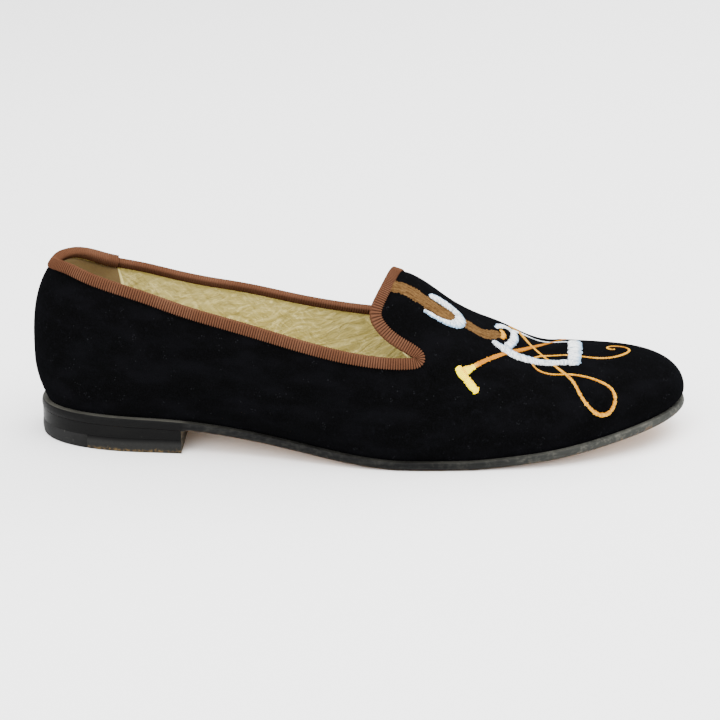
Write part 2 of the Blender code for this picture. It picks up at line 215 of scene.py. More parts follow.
def loop_shares(points):
    """Share of a closed loop's length at each of its points, with the closing 1 at the end."""
    steps = loop_steps(points)
    return np.concatenate([[0], np.cumsum(steps)]) / steps.sum()


def loop_headings(points):
    """Direction of a closed loop at each of its points."""
    return unit(np.roll(points, -1, axis=0) - np.roll(points, 1, axis=0))


def read_loop(points, shares, where):
    """A closed loop read at shares of its length."""
    return read_at(np.vstack([points, points[:1]]), shares, where)


def nearest_places(points, guess):
    """Places on the last nearest to points, by Newton steps from a guess."""
    places = guess.copy()
    for _ in range(NEWTON_STEPS):
        slopes = np.stack(last_slopes(places), axis=1)
        missing = points - last_points(places)
        square = slopes @ slopes.transpose(0, 2, 1)
        places += np.linalg.solve(square, slopes @ missing[:, :, None])[:, :, 0]
    return places


COLLAR_POINTS = 3000


def collar_places():
    """The collar's edge: a spline through the table's points in space, found again on the last."""
    rows = COLLAR * (LAST_LENGTH, 1)
    padded = np.vstack([rows[-COLLAR_WRAP:], rows, rows[:COLLAR_WRAP + 1]])
    points = last_points(padded)
    knots = np.concatenate([[0], np.cumsum(np.sqrt(np.linalg.norm(np.diff(points, axis=0), axis=1)))])
    ends = knots[COLLAR_WRAP], knots[COLLAR_WRAP + len(rows)]
    where = np.linspace(*ends, COLLAR_POINTS, endpoint=False)
    return nearest_places(spline_through(knots, points, where), read_at(padded, knots, where))


END_POINTS = 400
SIDE_POINTS = 800


def feather_places():
    """The feather line from the back of the heel round the outer side, as places on the last."""
    angle = np.linspace(0, np.pi / 2, END_POINTS, endpoint=False)
    run = np.linspace(HEEL_ROUND, LAST_LENGTH - TOE_ROUND, SIDE_POINTS, endpoint=False)
    fall, rise = np.cos(angle) ** (2 / END_POWER), np.sin(angle) ** (2 / END_POWER)
    heel = np.stack([HEEL_ROUND * (1 - fall), rise], axis=1)
    side = np.stack([run, np.ones_like(run)], axis=1)
    toe = np.stack([LAST_LENGTH - TOE_ROUND + TOE_ROUND * rise, fall], axis=1)
    half = np.vstack([heel, side, toe])
    tip = np.array([[LAST_LENGTH, 0.0]])
    return np.vstack([half * (1, -1), tip, half[:0:-1]])


COLLAR_CURVE = collar_places()
COLLAR_SPACE = last_points(COLLAR_CURVE)
COLLAR_SHARES = loop_shares(COLLAR_SPACE)
COLLAR_LENGTH = loop_steps(COLLAR_SPACE).sum()
FEATHER_CURVE = feather_places()
FEATHER_SPACE = last_points(FEATHER_CURVE)
CORNER_PULL = 0.05


def columns(count):
    """Matching places on the collar and the feather line, closer together where the collar turns."""
    heading = unit(np.roll(COLLAR_SPACE, -1, axis=0) - COLLAR_SPACE)
    turning = np.linalg.norm(heading - np.roll(heading, 1, axis=0), axis=1)
    weight = np.concatenate([[0], np.cumsum(np.diff(COLLAR_SHARES) + CORNER_PULL * turning)])
    evenly = np.arange(count) / count
    where = np.interp(evenly, weight / weight[-1], COLLAR_SHARES)
    collar = read_loop(COLLAR_CURVE, COLLAR_SHARES, where)
    feather = read_loop(FEATHER_CURVE, loop_shares(FEATHER_SPACE), (where + evenly) / 2)
    return collar, feather


def away_from_opening(collar):
    """Directions along the last, square to the collar's edge and away from the opening."""
    return unit(np.cross(loop_headings(last_points(collar)), outwards(collar)))


def places_beyond(collar, away, distance):
    """Places a distance from the collar's edge, away from the opening where it is positive."""
    return nearest_places(last_points(collar) + away * distance, collar)


def plan_outline(offset):
    """The feather line seen from above, moved outwards by offset, as a fine closed loop."""
    loop = FEATHER_SPACE[:, :2]
    heading = loop_headings(loop)
    return loop + offset * np.stack([heading[:, 1], -heading[:, 0]], axis=1)


def find_shift():
    """From the last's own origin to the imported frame's: the middle of the outsole's box decides."""
    low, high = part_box("outsole")
    outline = plan_outline(SOLE_MARGIN)
    middle = (outline.min(axis=0) + outline.max(axis=0)) / 2
    return np.array([(low.x + high.x) / 2 - middle[0], (low.y + high.y) / 2 - middle[1], 0.0])


SHIFT = find_shift()


# Meshes
def grid_quads(rows, count, close_rows, close_columns):
    """Corner numbers of a grid's quads, row after row."""
    row = np.arange(rows if close_rows else rows - 1)
    column = np.arange(count if close_columns else count - 1)
    here, beside = np.meshgrid(row, column, indexing="ij")
    below, right = (here + 1) % rows, (beside + 1) % count
    corners = (here * count + beside, below * count + beside, below * count + right, here * count + right)
    return np.stack(corners, axis=-1).reshape(-1, 4)


def grid_uv(u, v):
    """Texture places of a grid's quads: u at each column and v at each row, with the closing ones."""
    here, beside = np.meshgrid(np.arange(len(v) - 1), np.arange(len(u) - 1), indexing="ij")
    corner_u = np.stack([u[beside], u[beside], u[beside + 1], u[beside + 1]], axis=-1)
    corner_v = np.stack([v[here], v[here + 1], v[here + 1], v[here]], axis=-1)
    return np.stack([corner_u, corner_v], axis=-1).reshape(-1, 2)


def ladder(ring):
    """Quads that close a ring of corners, from one side of it to the other."""
    half = len(ring) // 2
    left, right = ring[:half], ring[::-1][:half]
    return np.stack([left[:-1], left[1:], right[1:], right[:-1]], axis=1)


def capped_tube(rings):
    """Quads of a tube whose section runs down the rows and whose two ends are closed."""
    rows, count = rings.shape[:2]
    first = np.arange(rows) * count
    quads = grid_quads(rows, count, True, False)
    return np.concatenate([quads, ladder(first)[:, ::-1], ladder(first + count - 1)])


def capped_uv(u, v, quads):
    """Texture places of a capped tube's quads: as grid_uv along it, and none on its ends."""
    laid = grid_uv(u, v)
    return np.vstack([laid, np.zeros((len(quads) * 4 - len(laid), 2))])


def capped_stack(rings):
    """Quads of a closed body of rings from the top down, with rungs across its top and bottom."""
    rows, count = rings.shape[:2]
    corner = np.arange(count)
    quads = grid_quads(rows, count, False, True)
    return np.concatenate([quads, ladder(corner), ladder(corner + (rows - 1) * count)[:, ::-1]])


def sheet_shell(front, back):
    """A closed shell from two matching grids, as a flat capped tube: its points and quads."""
    rings = np.concatenate([front, back[::-1]])
    return rings, capped_tube(rings)


def sheet_uv(u, v, quads):
    """Texture places of a sheet_shell's quads, the same on its front and its back."""
    return capped_uv(u, np.concatenate([v, v[::-1], v[:1]]), quads)


def signed_volume(points, quads):
    """Volume inside the faces, negative where they point inwards."""
    a, b, c, d = (points[quads[:, corner]] for corner in range(4))
    return (np.einsum("ni,ni->n", a, np.cross(b, c)) + np.einsum("ni,ni->n", a, np.cross(c, d))).sum() / 6


SHARP_ANGLE = np.radians(38)


def add_object(name, data):
    """An object in the scene, at the origin, for a mesh, a light or a camera."""
    made = bpy.data.objects.new(name, data)
    bpy.context.scene.collection.objects.link(made)
    return made


def add_piece(name, points, quads, material, uv=None, replaces=None, slot=None, sharp=False):
    """A smooth mesh object at the origin that rides on the body."""
    points = np.asarray(points, dtype=float).reshape(-1, 3)
    if signed_volume(points - points.mean(axis=0), quads) < 0:
        quads = quads[:, ::-1]
        if uv is not None:
            uv = uv.reshape(-1, 4, 2)[:, ::-1].reshape(-1, 2)
    points = points + SHIFT
    mesh = bpy.data.meshes.new(name)
    mesh.from_pydata(points.tolist(), [], quads.tolist())
    if uv is not None:
        layer = mesh.uv_layers.new(name="surface")
        layer.data.foreach_set("uv", np.asarray(uv, dtype=np.float32).ravel())
    mesh.materials.append(material)
    mesh.shade_smooth()
    if sharp:
        mesh.set_sharp_from_angle(angle=SHARP_ANGLE)
    piece = add_object(name, mesh)
    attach(piece, BODY)
    if replaces:
        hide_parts(replaces)


def add_stack(name, rings, material, **marks):
    """A closed piece of rings from the top down."""
    rings = np.stack(rings)
    add_piece(name, rings, capped_stack(rings), material, **marks)


# Materials
class Value:
    """A node's socket in an expression: each operator adds the Math node that it stands for."""

    def __init__(self, finish, socket):
        self.finish = finish
        self.socket = socket

    def math(self, operation, *others, swap=False):
        """A Math node on this value and others, the other way round where swap is true."""
        values = [self, *others]
        if swap:
            values.reverse()
        return self.finish.node("ShaderNodeMath", {"operation": operation}, values)

    def __add__(self, other):
        return self.math("ADD", other)

    __radd__ = __add__

    def __mul__(self, other):
        return self.math("MULTIPLY", other)

    __rmul__ = __mul__

    def __sub__(self, other):
        return self.math("SUBTRACT", other)

    def __rsub__(self, other):
        return self.math("SUBTRACT", other, swap=True)

    def __truediv__(self, other):
        return self.math("DIVIDE", other)

    def __pow__(self, other):
        return self.math("POWER", other)

    def between(self, low, high):
        """0 below low, 1 above high and a soft step between; falling where low is above high."""
        values = {"Value": self, "From Min": low, "From Max": high}
        return self.finish.node("ShaderNodeMapRange", {"interpolation_type": "SMOOTHSTEP"}, values)

    def least(self, other):
        return self.math("MINIMUM", other)

    def most(self, other):
        return self.math("MAXIMUM", other)

    def size(self):
        return self.math("ABSOLUTE")

    def wave(self):
        """1 at every whole number, 0 half way between."""
        return (self * (2 * np.pi)).math("COSINE") * 0.5 + 0.5


# Sockets of a Mix node set to colours, by number because their names repeat
MIX_SHARE, MIX_FIRST, MIX_SECOND, MIX_RESULT = 0, 6, 7, 2


class Finish:
    """One procedural material: a Principled shader and the nodes that vary it."""

    def __init__(self, name, colour, roughness, **constants):
        self.material = bpy.data.materials.new(name)
        self.material.use_nodes = True
        self.nodes = self.material.node_tree.nodes
        self.links = self.material.node_tree.links
        self.shader = self.nodes["Principled BSDF"]
        self.set("Base Color", (*colour, 1))
        self.set("Roughness", roughness)
        for socket, value in constants.items():
            self.set(socket.replace("_", " "), value)

    def set(self, socket, value):
        """A link or a constant on one socket of the shader."""
        self.put(self.shader.inputs[socket], value)

    def put(self, socket, value):
        """A link where the value comes from a node, else a constant."""
        if isinstance(value, Value):
            self.links.new(value.socket, socket)
        else:
            socket.default_value = value

    def node(self, kind, settings=None, values=None, output=0):
        """Any node: its settings first, then the values or links of its sockets."""
        made = self.nodes.new(kind)
        for name, value in (settings or {}).items():
            setattr(made, name, value)
        pairs = values.items() if isinstance(values, dict) else enumerate(values or ())
        for key, value in pairs:
            self.put(made.inputs[key], value)
        return Value(self, made.outputs[output])

    def place(self, output="Object"):
        return self.node("ShaderNodeTexCoord", output=output)

    def parts(self, place):
        """The three numbers of a vector."""
        made = self.node("ShaderNodeSeparateXYZ", {}, [place]).socket.node
        return [Value(self, output) for output in made.outputs]

    def normal(self):
        """The three numbers of the surface's direction."""
        return self.parts(self.node("ShaderNodeNewGeometry", output="Normal"))

    def stretched(self, scale):
        """The object's coordinates scaled along each axis."""
        return self.node("ShaderNodeMapping", {}, {"Vector": self.place(), "Scale": scale})

    def slanted(self, angle, along, across):
        """The object's coordinates turned in the side view, scaled along that slant and across it."""
        x, y, z = self.parts(self.place())
        lengthwise = x * float(np.cos(angle)) + z * float(np.sin(angle))
        crosswise = z * float(np.cos(angle)) - x * float(np.sin(angle))
        values = [lengthwise * along, y * along, crosswise * across]
        return self.node("ShaderNodeCombineXYZ", {}, values)

    def noise(self, scale, detail=2.0, place=None, rough=0.5, distortion=0.0):
        values = {"Vector": place or self.place(), "Scale": scale, "Detail": detail,
                  "Roughness": rough, "Distortion": distortion}
        return self.node("ShaderNodeTexNoise", {}, values)

    def cells(self, scale, feature="F1", place=None):
        values = {"Vector": place or self.place(), "Scale": scale}
        return self.node("ShaderNodeTexVoronoi", {"feature": feature}, values)

    def blend(self, share, first, second):
        """Colour first where share is 0 and second where it is 1."""
        values = {MIX_SHARE: share}
        for key, colour in ((MIX_FIRST, first), (MIX_SECOND, second)):
            values[key] = colour if isinstance(colour, Value) else (*colour, 1)
        return self.node("ShaderNodeMix", {"data_type": "RGBA"}, values, MIX_RESULT)

    def done(self, colour, relief, depth, strength, roughness=None):
        """The finished material: its colour, its relief with the depth in metres, its roughness."""
        self.set("Base Color", colour)
        if roughness is not None:
            self.set("Roughness", roughness)
        values = {"Height": relief, "Distance": depth, "Strength": strength}
        self.set("Normal", self.node("ShaderNodeBump", {}, values))
        return self.material


def linear(red, green, blue):
    """A linear colour from a colour picked on a 0 to 255 screen scale."""
    return tuple(float(((v / 255 + 0.055) / 1.055) ** 2.4) if v > 10 else v / 255 / 12.92
                 for v in (red, green, blue))


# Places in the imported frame, in metres, where a finish starts and where it is full
TOE_SCUFFS = (0.025, 0.122)
HEEL_INK = (-0.0680, -0.0720)
HEEL_DUST = (-0.118, -0.134)
LIFT_RUB = (0.0006, -0.0010)
LIFT_BAND = (0.0060, 0.0035)
LIFT_RAGGED = 0.0030
BALL_MIDDLE = 0.035
BALL_REACH = 0.060

# Parts of the surface's direction between which an underside or the heel's breast begins
UNDERSIDE = (0.80, 0.97)
BREAST_FACING = (0.55, 0.9)

# Places round the ribbon's section: the fold's crown, and the middle and ends of its outside, beyond which
# its inner side gets painted shade
CROWN_SHARE = 0.22
OUTSIDE_MIDDLE = 0.40
OUTSIDE_END = (0.36, 0.22)

# Where the foot rests on the sock: middle, half lengths of its dip, half lengths of its stain
HEEL_REST = ((-0.100, 0.0), (0.020, 0.016), (0.030, 0.022))
BALL_REST = ((0.032, -0.002), (0.030, 0.024), (0.042, 0.030))


def spread(x, y, middle, reach):
    """Square of the distance from the middle, counted in half lengths each way."""
    return ((x - middle[0]) / reach[0]) ** 2 + ((y - middle[1]) / reach[1]) ** 2


def velvet_finish(colours):
    """Cotton velvet: nap brushed one way, greyed in soft patches, with specks and hairs of lint."""
    look = Finish("velvet", (0.002, 0.002, 0.002), 1.0, Specular_IOR_Level=0.0,
                  Sheen_Weight=0.004, Sheen_Roughness=0.5, Sheen_Tint=(0.75, 0.82, 1.0, 1))
    brushed = look.noise(60, 4, look.stretched((1, 1.4, 2.2)))
    patches = look.noise(18, 2)
    nap = look.noise(1700, 2)
    dust = look.noise(420, 3, rough=0.7).between(0.52, 0.72) * patches.between(0.35, 0.65)
    base = look.blend(brushed.between(0.38, 0.72) * 0.6, colours.velvet, colours.nap)
    base = look.blend((nap.between(0.35, 0.75) * 0.4 + dust * 0.6).least(1), base, colours.nap)
    specks = look.cells(1000)
    scarce = look.noise(240, 1).between(0.60, 0.70)
    lint = specks.between(0.26, 0.10) * scarce
    hairs = look.cells(210, place=look.slanted(0.9, 0.16, 1.0))
    hair = hairs.between(0.035, 0.015) * look.noise(85, 0).between(0.66, 0.70)
    base = look.blend((lint * 0.45 + hair * 0.5).least(1), base, colours.lint)
    return look.done(base, nap * 0.5 + look.noise(800, 2) * 0.3 + brushed * 0.5, 0.0005, 0.6)


def ribbon_finish(colours):
    """Grosgrain ribbon: ribs straight across it, painted shade between them, most of all near its edges,
    and painted shade on its inner side.
    """
    look = Finish("grosgrain ribbon", (0.15, 0.05, 0.02), 0.8, Specular_IOR_Level=0.0)
    u, v, _ = look.parts(look.place("UV"))
    rib = u.wave()
    weave = look.noise(1900, 3)
    tone = look.noise(70, 3)
    edge = (v - CROWN_SHARE).size().between(0.08, 0.30)
    base = look.blend(tone.between(0.40, 0.7) * 0.4 + weave.between(0.5, 0.8) * 0.3,
                      colours.ribbon, colours.ribbon_pale)
    outside = (v - OUTSIDE_MIDDLE).size().between(*OUTSIDE_END)
    # painted shade on the ribbon's inner side, away from its outside
    base = look.blend((1 - outside) * 0.45, base, colours.ribbon_shade_and_dark_weave)
    # painted shade in the grooves between the ribs, most near the edges, with a darker weave at random
    rib_gap_shade = (1 - rib) ** 2 * (edge * 0.65 + 0.35) * (outside * 0.75 + 0.25)
    dark = (rib_gap_shade + weave.between(0.5, 0.25) * 0.2).least(1)
    base = look.blend(dark, base, colours.ribbon_shade_and_dark_weave)
    return look.done(base, rib * 0.7 + weave * 0.3, 0.00022, 0.8)


def lining_finish(colours):
    """Thin kid: fine wrinkles that run aslant both ways, with painted highlight on their crests and painted
    shade beside them.
    """
    look = Finish("kid lining", (0.4, 0.35, 0.12), 0.6, Specular_IOR_Level=0.12)
    rising = look.noise(560, 2, look.slanted(0.62, 0.34, 1.0), rough=0.6, distortion=0.6)
    falling = look.noise(640, 2, look.slanted(-0.80, 0.36, 1.0), rough=0.6, distortion=0.6)
    choice = look.noise(55, 2).between(0.42, 0.58)
    fine = rising * choice + falling * (1 - choice)
    broad = look.noise(190, 3, look.slanted(0.30, 0.30, 1.0), distortion=1.2)
    tone = look.noise(26, 3)
    # painted highlight on the crests of the fine and broad wrinkles, and painted shade beside them
    crest = fine.between(0.53, 0.64) * 0.34 + (1 - (broad - 0.56).size().between(0.0, 0.04)) * 0.42
    fold = fine.between(0.46, 0.36) * 0.22 + (1 - (broad - 0.47).size().between(0.0, 0.04)) * 0.24
    base = look.blend(tone.between(0.40, 0.75) * 0.25, colours.lining, colours.lining_pale_and_highlight)
    base = look.blend(crest.least(0.8), base, colours.lining_pale_and_highlight)
    base = look.blend(fold.least(0.6), base, colours.lining_dark_and_shade)
    return look.done(base, fine * 0.5 + broad, 0.0012, 0.9, tone * 0.12 + 0.50)


def suede_finish(colours):
    """The heel grip: the same hide, rough side out, rubbed darker by the heel, with pale cut ends."""
    look = Finish("suede heel grip", (0.13, 0.08, 0.04), 0.95, Specular_IOR_Level=0.05)
    fuzz = look.noise(1500, 3)
    wear = look.noise(60, 4)
    u = look.parts(look.place("UV"))[0]
    cut = (u - 0.5).size().between(0.489, 0.494)
    base = look.blend(wear.between(0.3, 0.7) * 0.5, colours.grip, colours.grip_dark)
    base = look.blend(fuzz.between(0.45, 0.75) * 0.3, base, colours.lining_dark_and_shade)
    base = look.blend(cut, base, colours.lining_pale_and_highlight)
    return look.done(base, fuzz + wear * 0.5, 0.0003, 0.7)


def sock_finish(colours):
    """The insole's cover: smooth leather, darkened and polished where the foot rests."""
    look = Finish("sock leather", (0.5, 0.4, 0.2), 0.4, Specular_IOR_Level=0.35)
    x, y, _ = look.parts(look.place())
    heel, ball = (spread(x, y, middle, stain) for middle, _, stain in (HEEL_REST, BALL_REST))
    rest = (heel.between(1.3, 0.2) + ball.between(1.3, 0.2)).least(1)
    grain = look.cells(900, "SMOOTH_F1")
    tone = look.noise(45, 4)
    base = look.blend(tone.between(0.35, 0.7) * 0.6, colours.lining, colours.lining_pale_and_highlight)
    worn = rest * tone.between(0.25, 0.6)
    base = look.blend(worn * 0.55, base, colours.lining_dark_and_shade)
    return look.done(base, grain * 0.4 + tone * 0.6, 0.00015, 0.6, 0.50 - worn * 0.16)


def sole_finish(colours):
    """Leather sole: inked edge, a painted highlight on its upper rim, scuffed grey at the toe, tan below.
    """
    look = Finish("leather sole", (0.02, 0.02, 0.02), 0.5, Specular_IOR_Level=0.05)
    x = look.parts(look.place())[0]
    upwards = look.normal()[2]
    downwards = 0 - upwards
    grit = look.noise(700, 4, rough=0.65)
    scuffs = look.noise(230, 4, rough=0.7)
    streaks = look.noise(120, 4, look.stretched((0.35, 0.35, 4.0)))
    toe = x.between(*TOE_SCUFFS)
    seat = x.between(*HEEL_INK)
    # painted highlight along the up-facing top of the sole's edge
    rim = upwards.between(0.74, 0.98) * (seat * 0.45 + toe * 0.15 + 0.2)
    worn = (toe * 0.95 + (streaks - 0.5) * 0.7).most(0).least(1)
    edge = look.blend(worn, colours.sole, colours.sole_worn)
    dusty = (scuffs * 0.5 + grit * 0.5).between(0.47, 0.62) * (toe * 0.6 + 0.10)
    edge = look.blend(dusty, edge, colours.dust_and_ledge_highlight)
    specks = scuffs.between(0.54, 0.62) * grit.between(0.45, 0.55) * downwards.between(-0.35, 0.20) * toe
    edge = look.blend(specks * 0.8, edge, colours.sole_raw)
    edge = look.blend(seat * 0.9, edge, colours.heel)
    # the painted highlight on the rim, in the dust colour and streaked
    edge = look.blend(rim * (streaks.between(0.30, 0.60) * 0.7 + 0.3), edge, colours.dust_and_ledge_highlight)
    low = downwards.between(0.25, 0.75) * grit.between(0.35, 0.6) * (1 - seat)
    edge = look.blend(low * 0.8, edge, colours.sole_raw)
    walked = ((x - BALL_MIDDLE) / BALL_REACH).size().between(1.0, 0.1) * 0.6
    dirt = look.noise(55, 6, rough=0.7).between(0.30, 0.75)
    tread = look.blend((dirt * 0.7 + walked).least(1), colours.tread, colours.tread_dark)
    scratches = look.noise(800, 3, look.slanted(0.25, 0.10, 1.0)).between(0.55, 0.72)
    tread = look.blend(scratches * 0.6 + grit.between(0.60, 0.72) * 0.3, tread, colours.tread_scuff)
    under = downwards.between(*UNDERSIDE)
    roughness = (0.40 + toe * 0.25 + grit * 0.12 + under * 0.15 - rim * 0.1).least(0.9)
    base = look.blend(under, edge, tread)
    return look.done(base, grit * 0.6 + streaks * 0.6, 0.0002, 0.8, roughness)


def heel_finish(colours):
    """Heel block: black edge ink, waxed bright, dusty at the back, fibre bare on its breast."""
    look = Finish("inked heel", (0.005, 0.005, 0.005), 0.3, Specular_IOR_Level=0.05)
    x = look.parts(look.place())[0]
    grit = look.noise(500, 4, rough=0.6)
    smears = look.noise(90, 4, look.stretched((0.5, 0.5, 2.6)))
    breast = look.normal()[0].between(*BREAST_FACING)
    pale = (smears.between(0.45, 0.75) * 0.4 + x.between(*HEEL_DUST) * 0.4).least(1)
    base = look.blend(pale, colours.heel, colours.heel_pale)
    fibre = look.noise(420, 3, look.stretched((1.0, 3.0, 0.3))).between(0.35, 0.60)
    base = look.blend(breast * (fibre * 0.8 + 0.15), base, colours.breast)
    base = look.blend(grit.between(0.68, 0.76) * 0.25, base, colours.dust_and_ledge_highlight)
    roughness = 0.24 + smears * 0.22 + breast * 0.3
    return look.done(base, grit * 0.4 + smears + fibre * breast, 0.00014, 0.7, roughness)


def lift_finish(colours):
    """The layer under the heel: inked leather, its lower edge rubbed to specks of brown fibre."""
    look = Finish("worn top lift", (0.02, 0.02, 0.02), 0.6, Specular_IOR_Level=0.05)
    z = look.parts(look.place())[2]
    forwards, _, upwards = look.normal()
    grit = look.noise(900, 4, rough=0.7)
    ragged = look.noise(420, 3, look.stretched((1.0, 1.0, 0.4)))
    rub = (z - ragged * LIFT_RAGGED).between(*LIFT_RUB)
    band = z.between(*LIFT_BAND)
    base = look.blend(band * (0.35 + grit * 0.7), colours.heel, colours.lift)
    base = look.blend(rub * grit.between(0.47, 0.56), base, colours.lift_raw)
    trodden = look.blend((grit * 0.5 + look.noise(90, 5) * 0.5).between(0.38, 0.62),
                         colours.tread_dark, colours.tread_scuff)
    base = look.blend((0 - upwards).between(*UNDERSIDE), base, trodden)
    breast = forwards.between(*BREAST_FACING)
    base = look.blend(breast * grit.between(0.4, 0.6) * 0.7, base, colours.breast)
    return look.done(base, grit + ragged * 0.5, 0.00025, 0.9, 0.55 + grit * 0.25)


def rubber_finish(colours):
    """Moulded black rubber, greyed by the pavement."""
    look = Finish("rubber tip", (0.012, 0.012, 0.012), 0.6, Specular_IOR_Level=0.05)
    grit = look.noise(1100, 3)
    smears = look.noise(60, 3)
    base = look.blend(smears.between(0.35, 0.7), colours.rubber, colours.heel_pale)
    base = look.blend(grit.between(0.66, 0.74) * 0.3, base, colours.dust_and_ledge_highlight)
    return look.done(base, grit, 0.0001, 0.6, 0.5 + smears * 0.2)


def thread_finish(name, light, dark, shade, lengthwise=False):
    """Embroidery thread: no two alike, painted shade between them, shaded to one side of a band."""
    look = Finish(name, (0.8, 0.8, 0.8), 0.7, Specular_IOR_Level=0.0)
    place = look.place("UV")
    u, v, _ = look.parts(place)
    threads = u.wave()
    strand = look.noise(0.85, 4, place, rough=0.75)
    fleck = look.noise(1100, 2)
    mottled = strand.between(0.40, 0.60) * 0.7 + fleck.between(0.45, 0.65) * 0.3
    base = look.blend(mottled * 0.9 if lengthwise else mottled.between(0.30, 0.95) * 0.8, light, dark)
    if not lengthwise:
        base = look.blend((v + strand * 0.6).between(0.85, 1.30) * 0.85, base, shade)
    # painted shade in the grooves between the threads
    base = look.blend((1 - threads) ** 2 * 0.75, base, dark)
    return look.done(base, threads * 0.5 + strand * 0.5, 0.0004, 0.9)


# The velvet and what is inside it
VELVET_COLUMNS = 640
VELVET_ROWS = 104
LINING_COLUMNS = 880
LINING_ROWS = 72
HIDDEN_EVERY = 8
ROW_PULL = 1.5
FINE_ROWS = 240
TROUGH_POINTS = 40
TROUGH_END = 0.02
TROUGH_FADE = 0.6
TROUGH_REACH = 3            # widths beyond which a crease is left out

# Soft creases of the velvet: share of the last's length and girth of the start, middle and end,
# then width and depth in millimetres
VELVET_CREASES = np.array([
    [0.655, -0.60, 0.668, -0.44, 0.672, -0.26, 4.5, 0.55],
    [0.700, -0.66, 0.712, -0.50, 0.716, -0.30, 5.0, 0.60],
    [0.742, -0.62, 0.752, -0.46, 0.750, -0.24, 5.5, 0.45],
    [0.628, -0.52, 0.640, -0.40, 0.648, -0.28, 4.0, -0.35],
    [0.668, 0.30, 0.662, 0.46, 0.650, 0.62, 4.5, 0.55],
    [0.712, 0.30, 0.708, 0.48, 0.696, 0.66, 5.0, 0.60],
    [0.752, 0.26, 0.748, 0.46, 0.738, 0.62, 5.5, 0.40],
    [0.690, -0.16, 0.694, 0.02, 0.690, 0.18, 6.0, 0.40],
    [0.742, -0.16, 0.748, 0.02, 0.744, 0.18, 6.5, 0.35],
    [0.236, -0.60, 0.250, -0.78, 0.246, -0.94, 5.0, 0.40],
    [0.236, 0.60, 0.250, 0.78, 0.246, 0.94, 5.0, 0.40],
    [0.420, -0.62, 0.470, -0.70, 0.520, -0.76, 6.0, 0.30],
    [0.060, -0.50, 0.105, -0.56, 0.150, -0.62, 4.0, 0.25],
    [0.520, -0.82, 0.580, -0.86, 0.640, -0.88, 4.0, -0.25],
])

# Wrinkles of the lining, in the same columns
LINING_WRINKLES = np.array([
    [0.205, 0.52, 0.228, 0.60, 0.262, 0.70, 1.3, 0.55],
    [0.225, 0.51, 0.256, 0.60, 0.290, 0.66, 1.2, 0.50],
    [0.250, 0.51, 0.272, 0.56, 0.300, 0.60, 1.1, 0.45],
    [0.268, 0.64, 0.300, 0.62, 0.335, 0.66, 1.2, 0.50],
    [0.300, 0.51, 0.318, 0.57, 0.342, 0.62, 1.1, 0.45],
    [0.325, 0.70, 0.352, 0.62, 0.388, 0.58, 1.2, 0.50],
    [0.350, 0.51, 0.372, 0.56, 0.400, 0.58, 1.1, 0.40],
    [0.362, 0.74, 0.398, 0.66, 0.436, 0.62, 1.3, 0.55],
    [0.405, 0.52, 0.425, 0.56, 0.452, 0.57, 1.1, 0.40],
    [0.400, 0.78, 0.440, 0.70, 0.486, 0.66, 1.3, 0.55],
    [0.446, 0.60, 0.470, 0.57, 0.500, 0.56, 1.1, 0.45],
    [0.452, 0.80, 0.492, 0.72, 0.540, 0.68, 1.3, 0.50],
    [0.488, 0.64, 0.515, 0.60, 0.548, 0.58, 1.2, 0.45],
    [0.180, 0.66, 0.205, 0.72, 0.236, 0.82, 1.2, 0.45],
    [0.290, 0.80, 0.330, 0.78, 0.372, 0.82, 1.3, 0.45],
    [0.290, -0.56, 0.330, -0.62, 0.372, -0.66, 1.3, 0.50],
    [0.370, -0.54, 0.405, -0.60, 0.452, -0.62, 1.2, 0.45],
    [0.440, -0.56, 0.470, -0.64, 0.520, -0.70, 1.3, 0.50],
    [0.225, -0.54, 0.250, -0.62, 0.286, -0.70, 1.2, 0.45],
])


def curve_through(points, count):
    """count points on a natural spline through a few points of any dimension."""
    knots = np.concatenate([[0], np.cumsum(np.linalg.norm(np.diff(points, axis=0), axis=1) ** 0.5)])
    return spline_through(knots, points, np.linspace(0, knots[-1], count))


def soft_troughs(points, creases, distance):
    """How far creases press each point in: a bell curve across each one, fading at its ends."""
    pressed = np.zeros(points.shape[:-1])
    fade = np.sin(np.pi * np.linspace(TROUGH_END, 1 - TROUGH_END, TROUGH_POINTS)) ** TROUGH_FADE
    for row in creases:
        places = row[:6].reshape(3, 2) * (LAST_LENGTH, 1)
        line = curve_through(offset_points(places, distance), TROUGH_POINTS)
        width, depth = row[6:] * MM
        reach = TROUGH_REACH * width
        near = np.all((points > line.min(axis=0) - reach) & (points < line.max(axis=0) + reach), axis=-1)
        gaps = np.linalg.norm(points[near][:, None, :] - line, axis=2)
        bell = np.exp(-(gaps / (width / 2)) ** 2) * fade
        pressed[near] += depth * bell.max(axis=1)
    return pressed


def running_lengths(rows):
    """Length down each column of places from the first row to each row, in metres."""
    steps = np.linalg.norm(np.diff(last_points(rows), axis=0), axis=-1)
    return np.concatenate([np.zeros_like(steps[:1]), np.cumsum(steps, axis=0)])


def wall_rows(edge, feather, count, pull):
    """Rows of places from one edge to the feather line, spaced by length on the last itself."""
    shares = np.linspace(0, 1, FINE_ROWS)
    lengths = running_lengths(edge + (feather - edge) * shares[:, None, None])
    wanted = 1 - (1 - np.arange(1, count) / count) ** pull
    found = np.stack([np.interp(wanted, column / column[-1], shares) for column in lengths.T], axis=1)
    return edge + (feather - edge) * found[..., None]


def hem(feather, inwards):
    """The wall's lower edge over the sole, moved inwards along the plan."""
    foot = last_points(feather)
    heading = loop_headings(foot)
    foot += inwards * unit(np.stack([-heading[:, 1], heading[:, 0], np.zeros(len(foot))], axis=1))
    foot[:, 2] = seat_height(foot[:, 0]) + GAP
    return foot


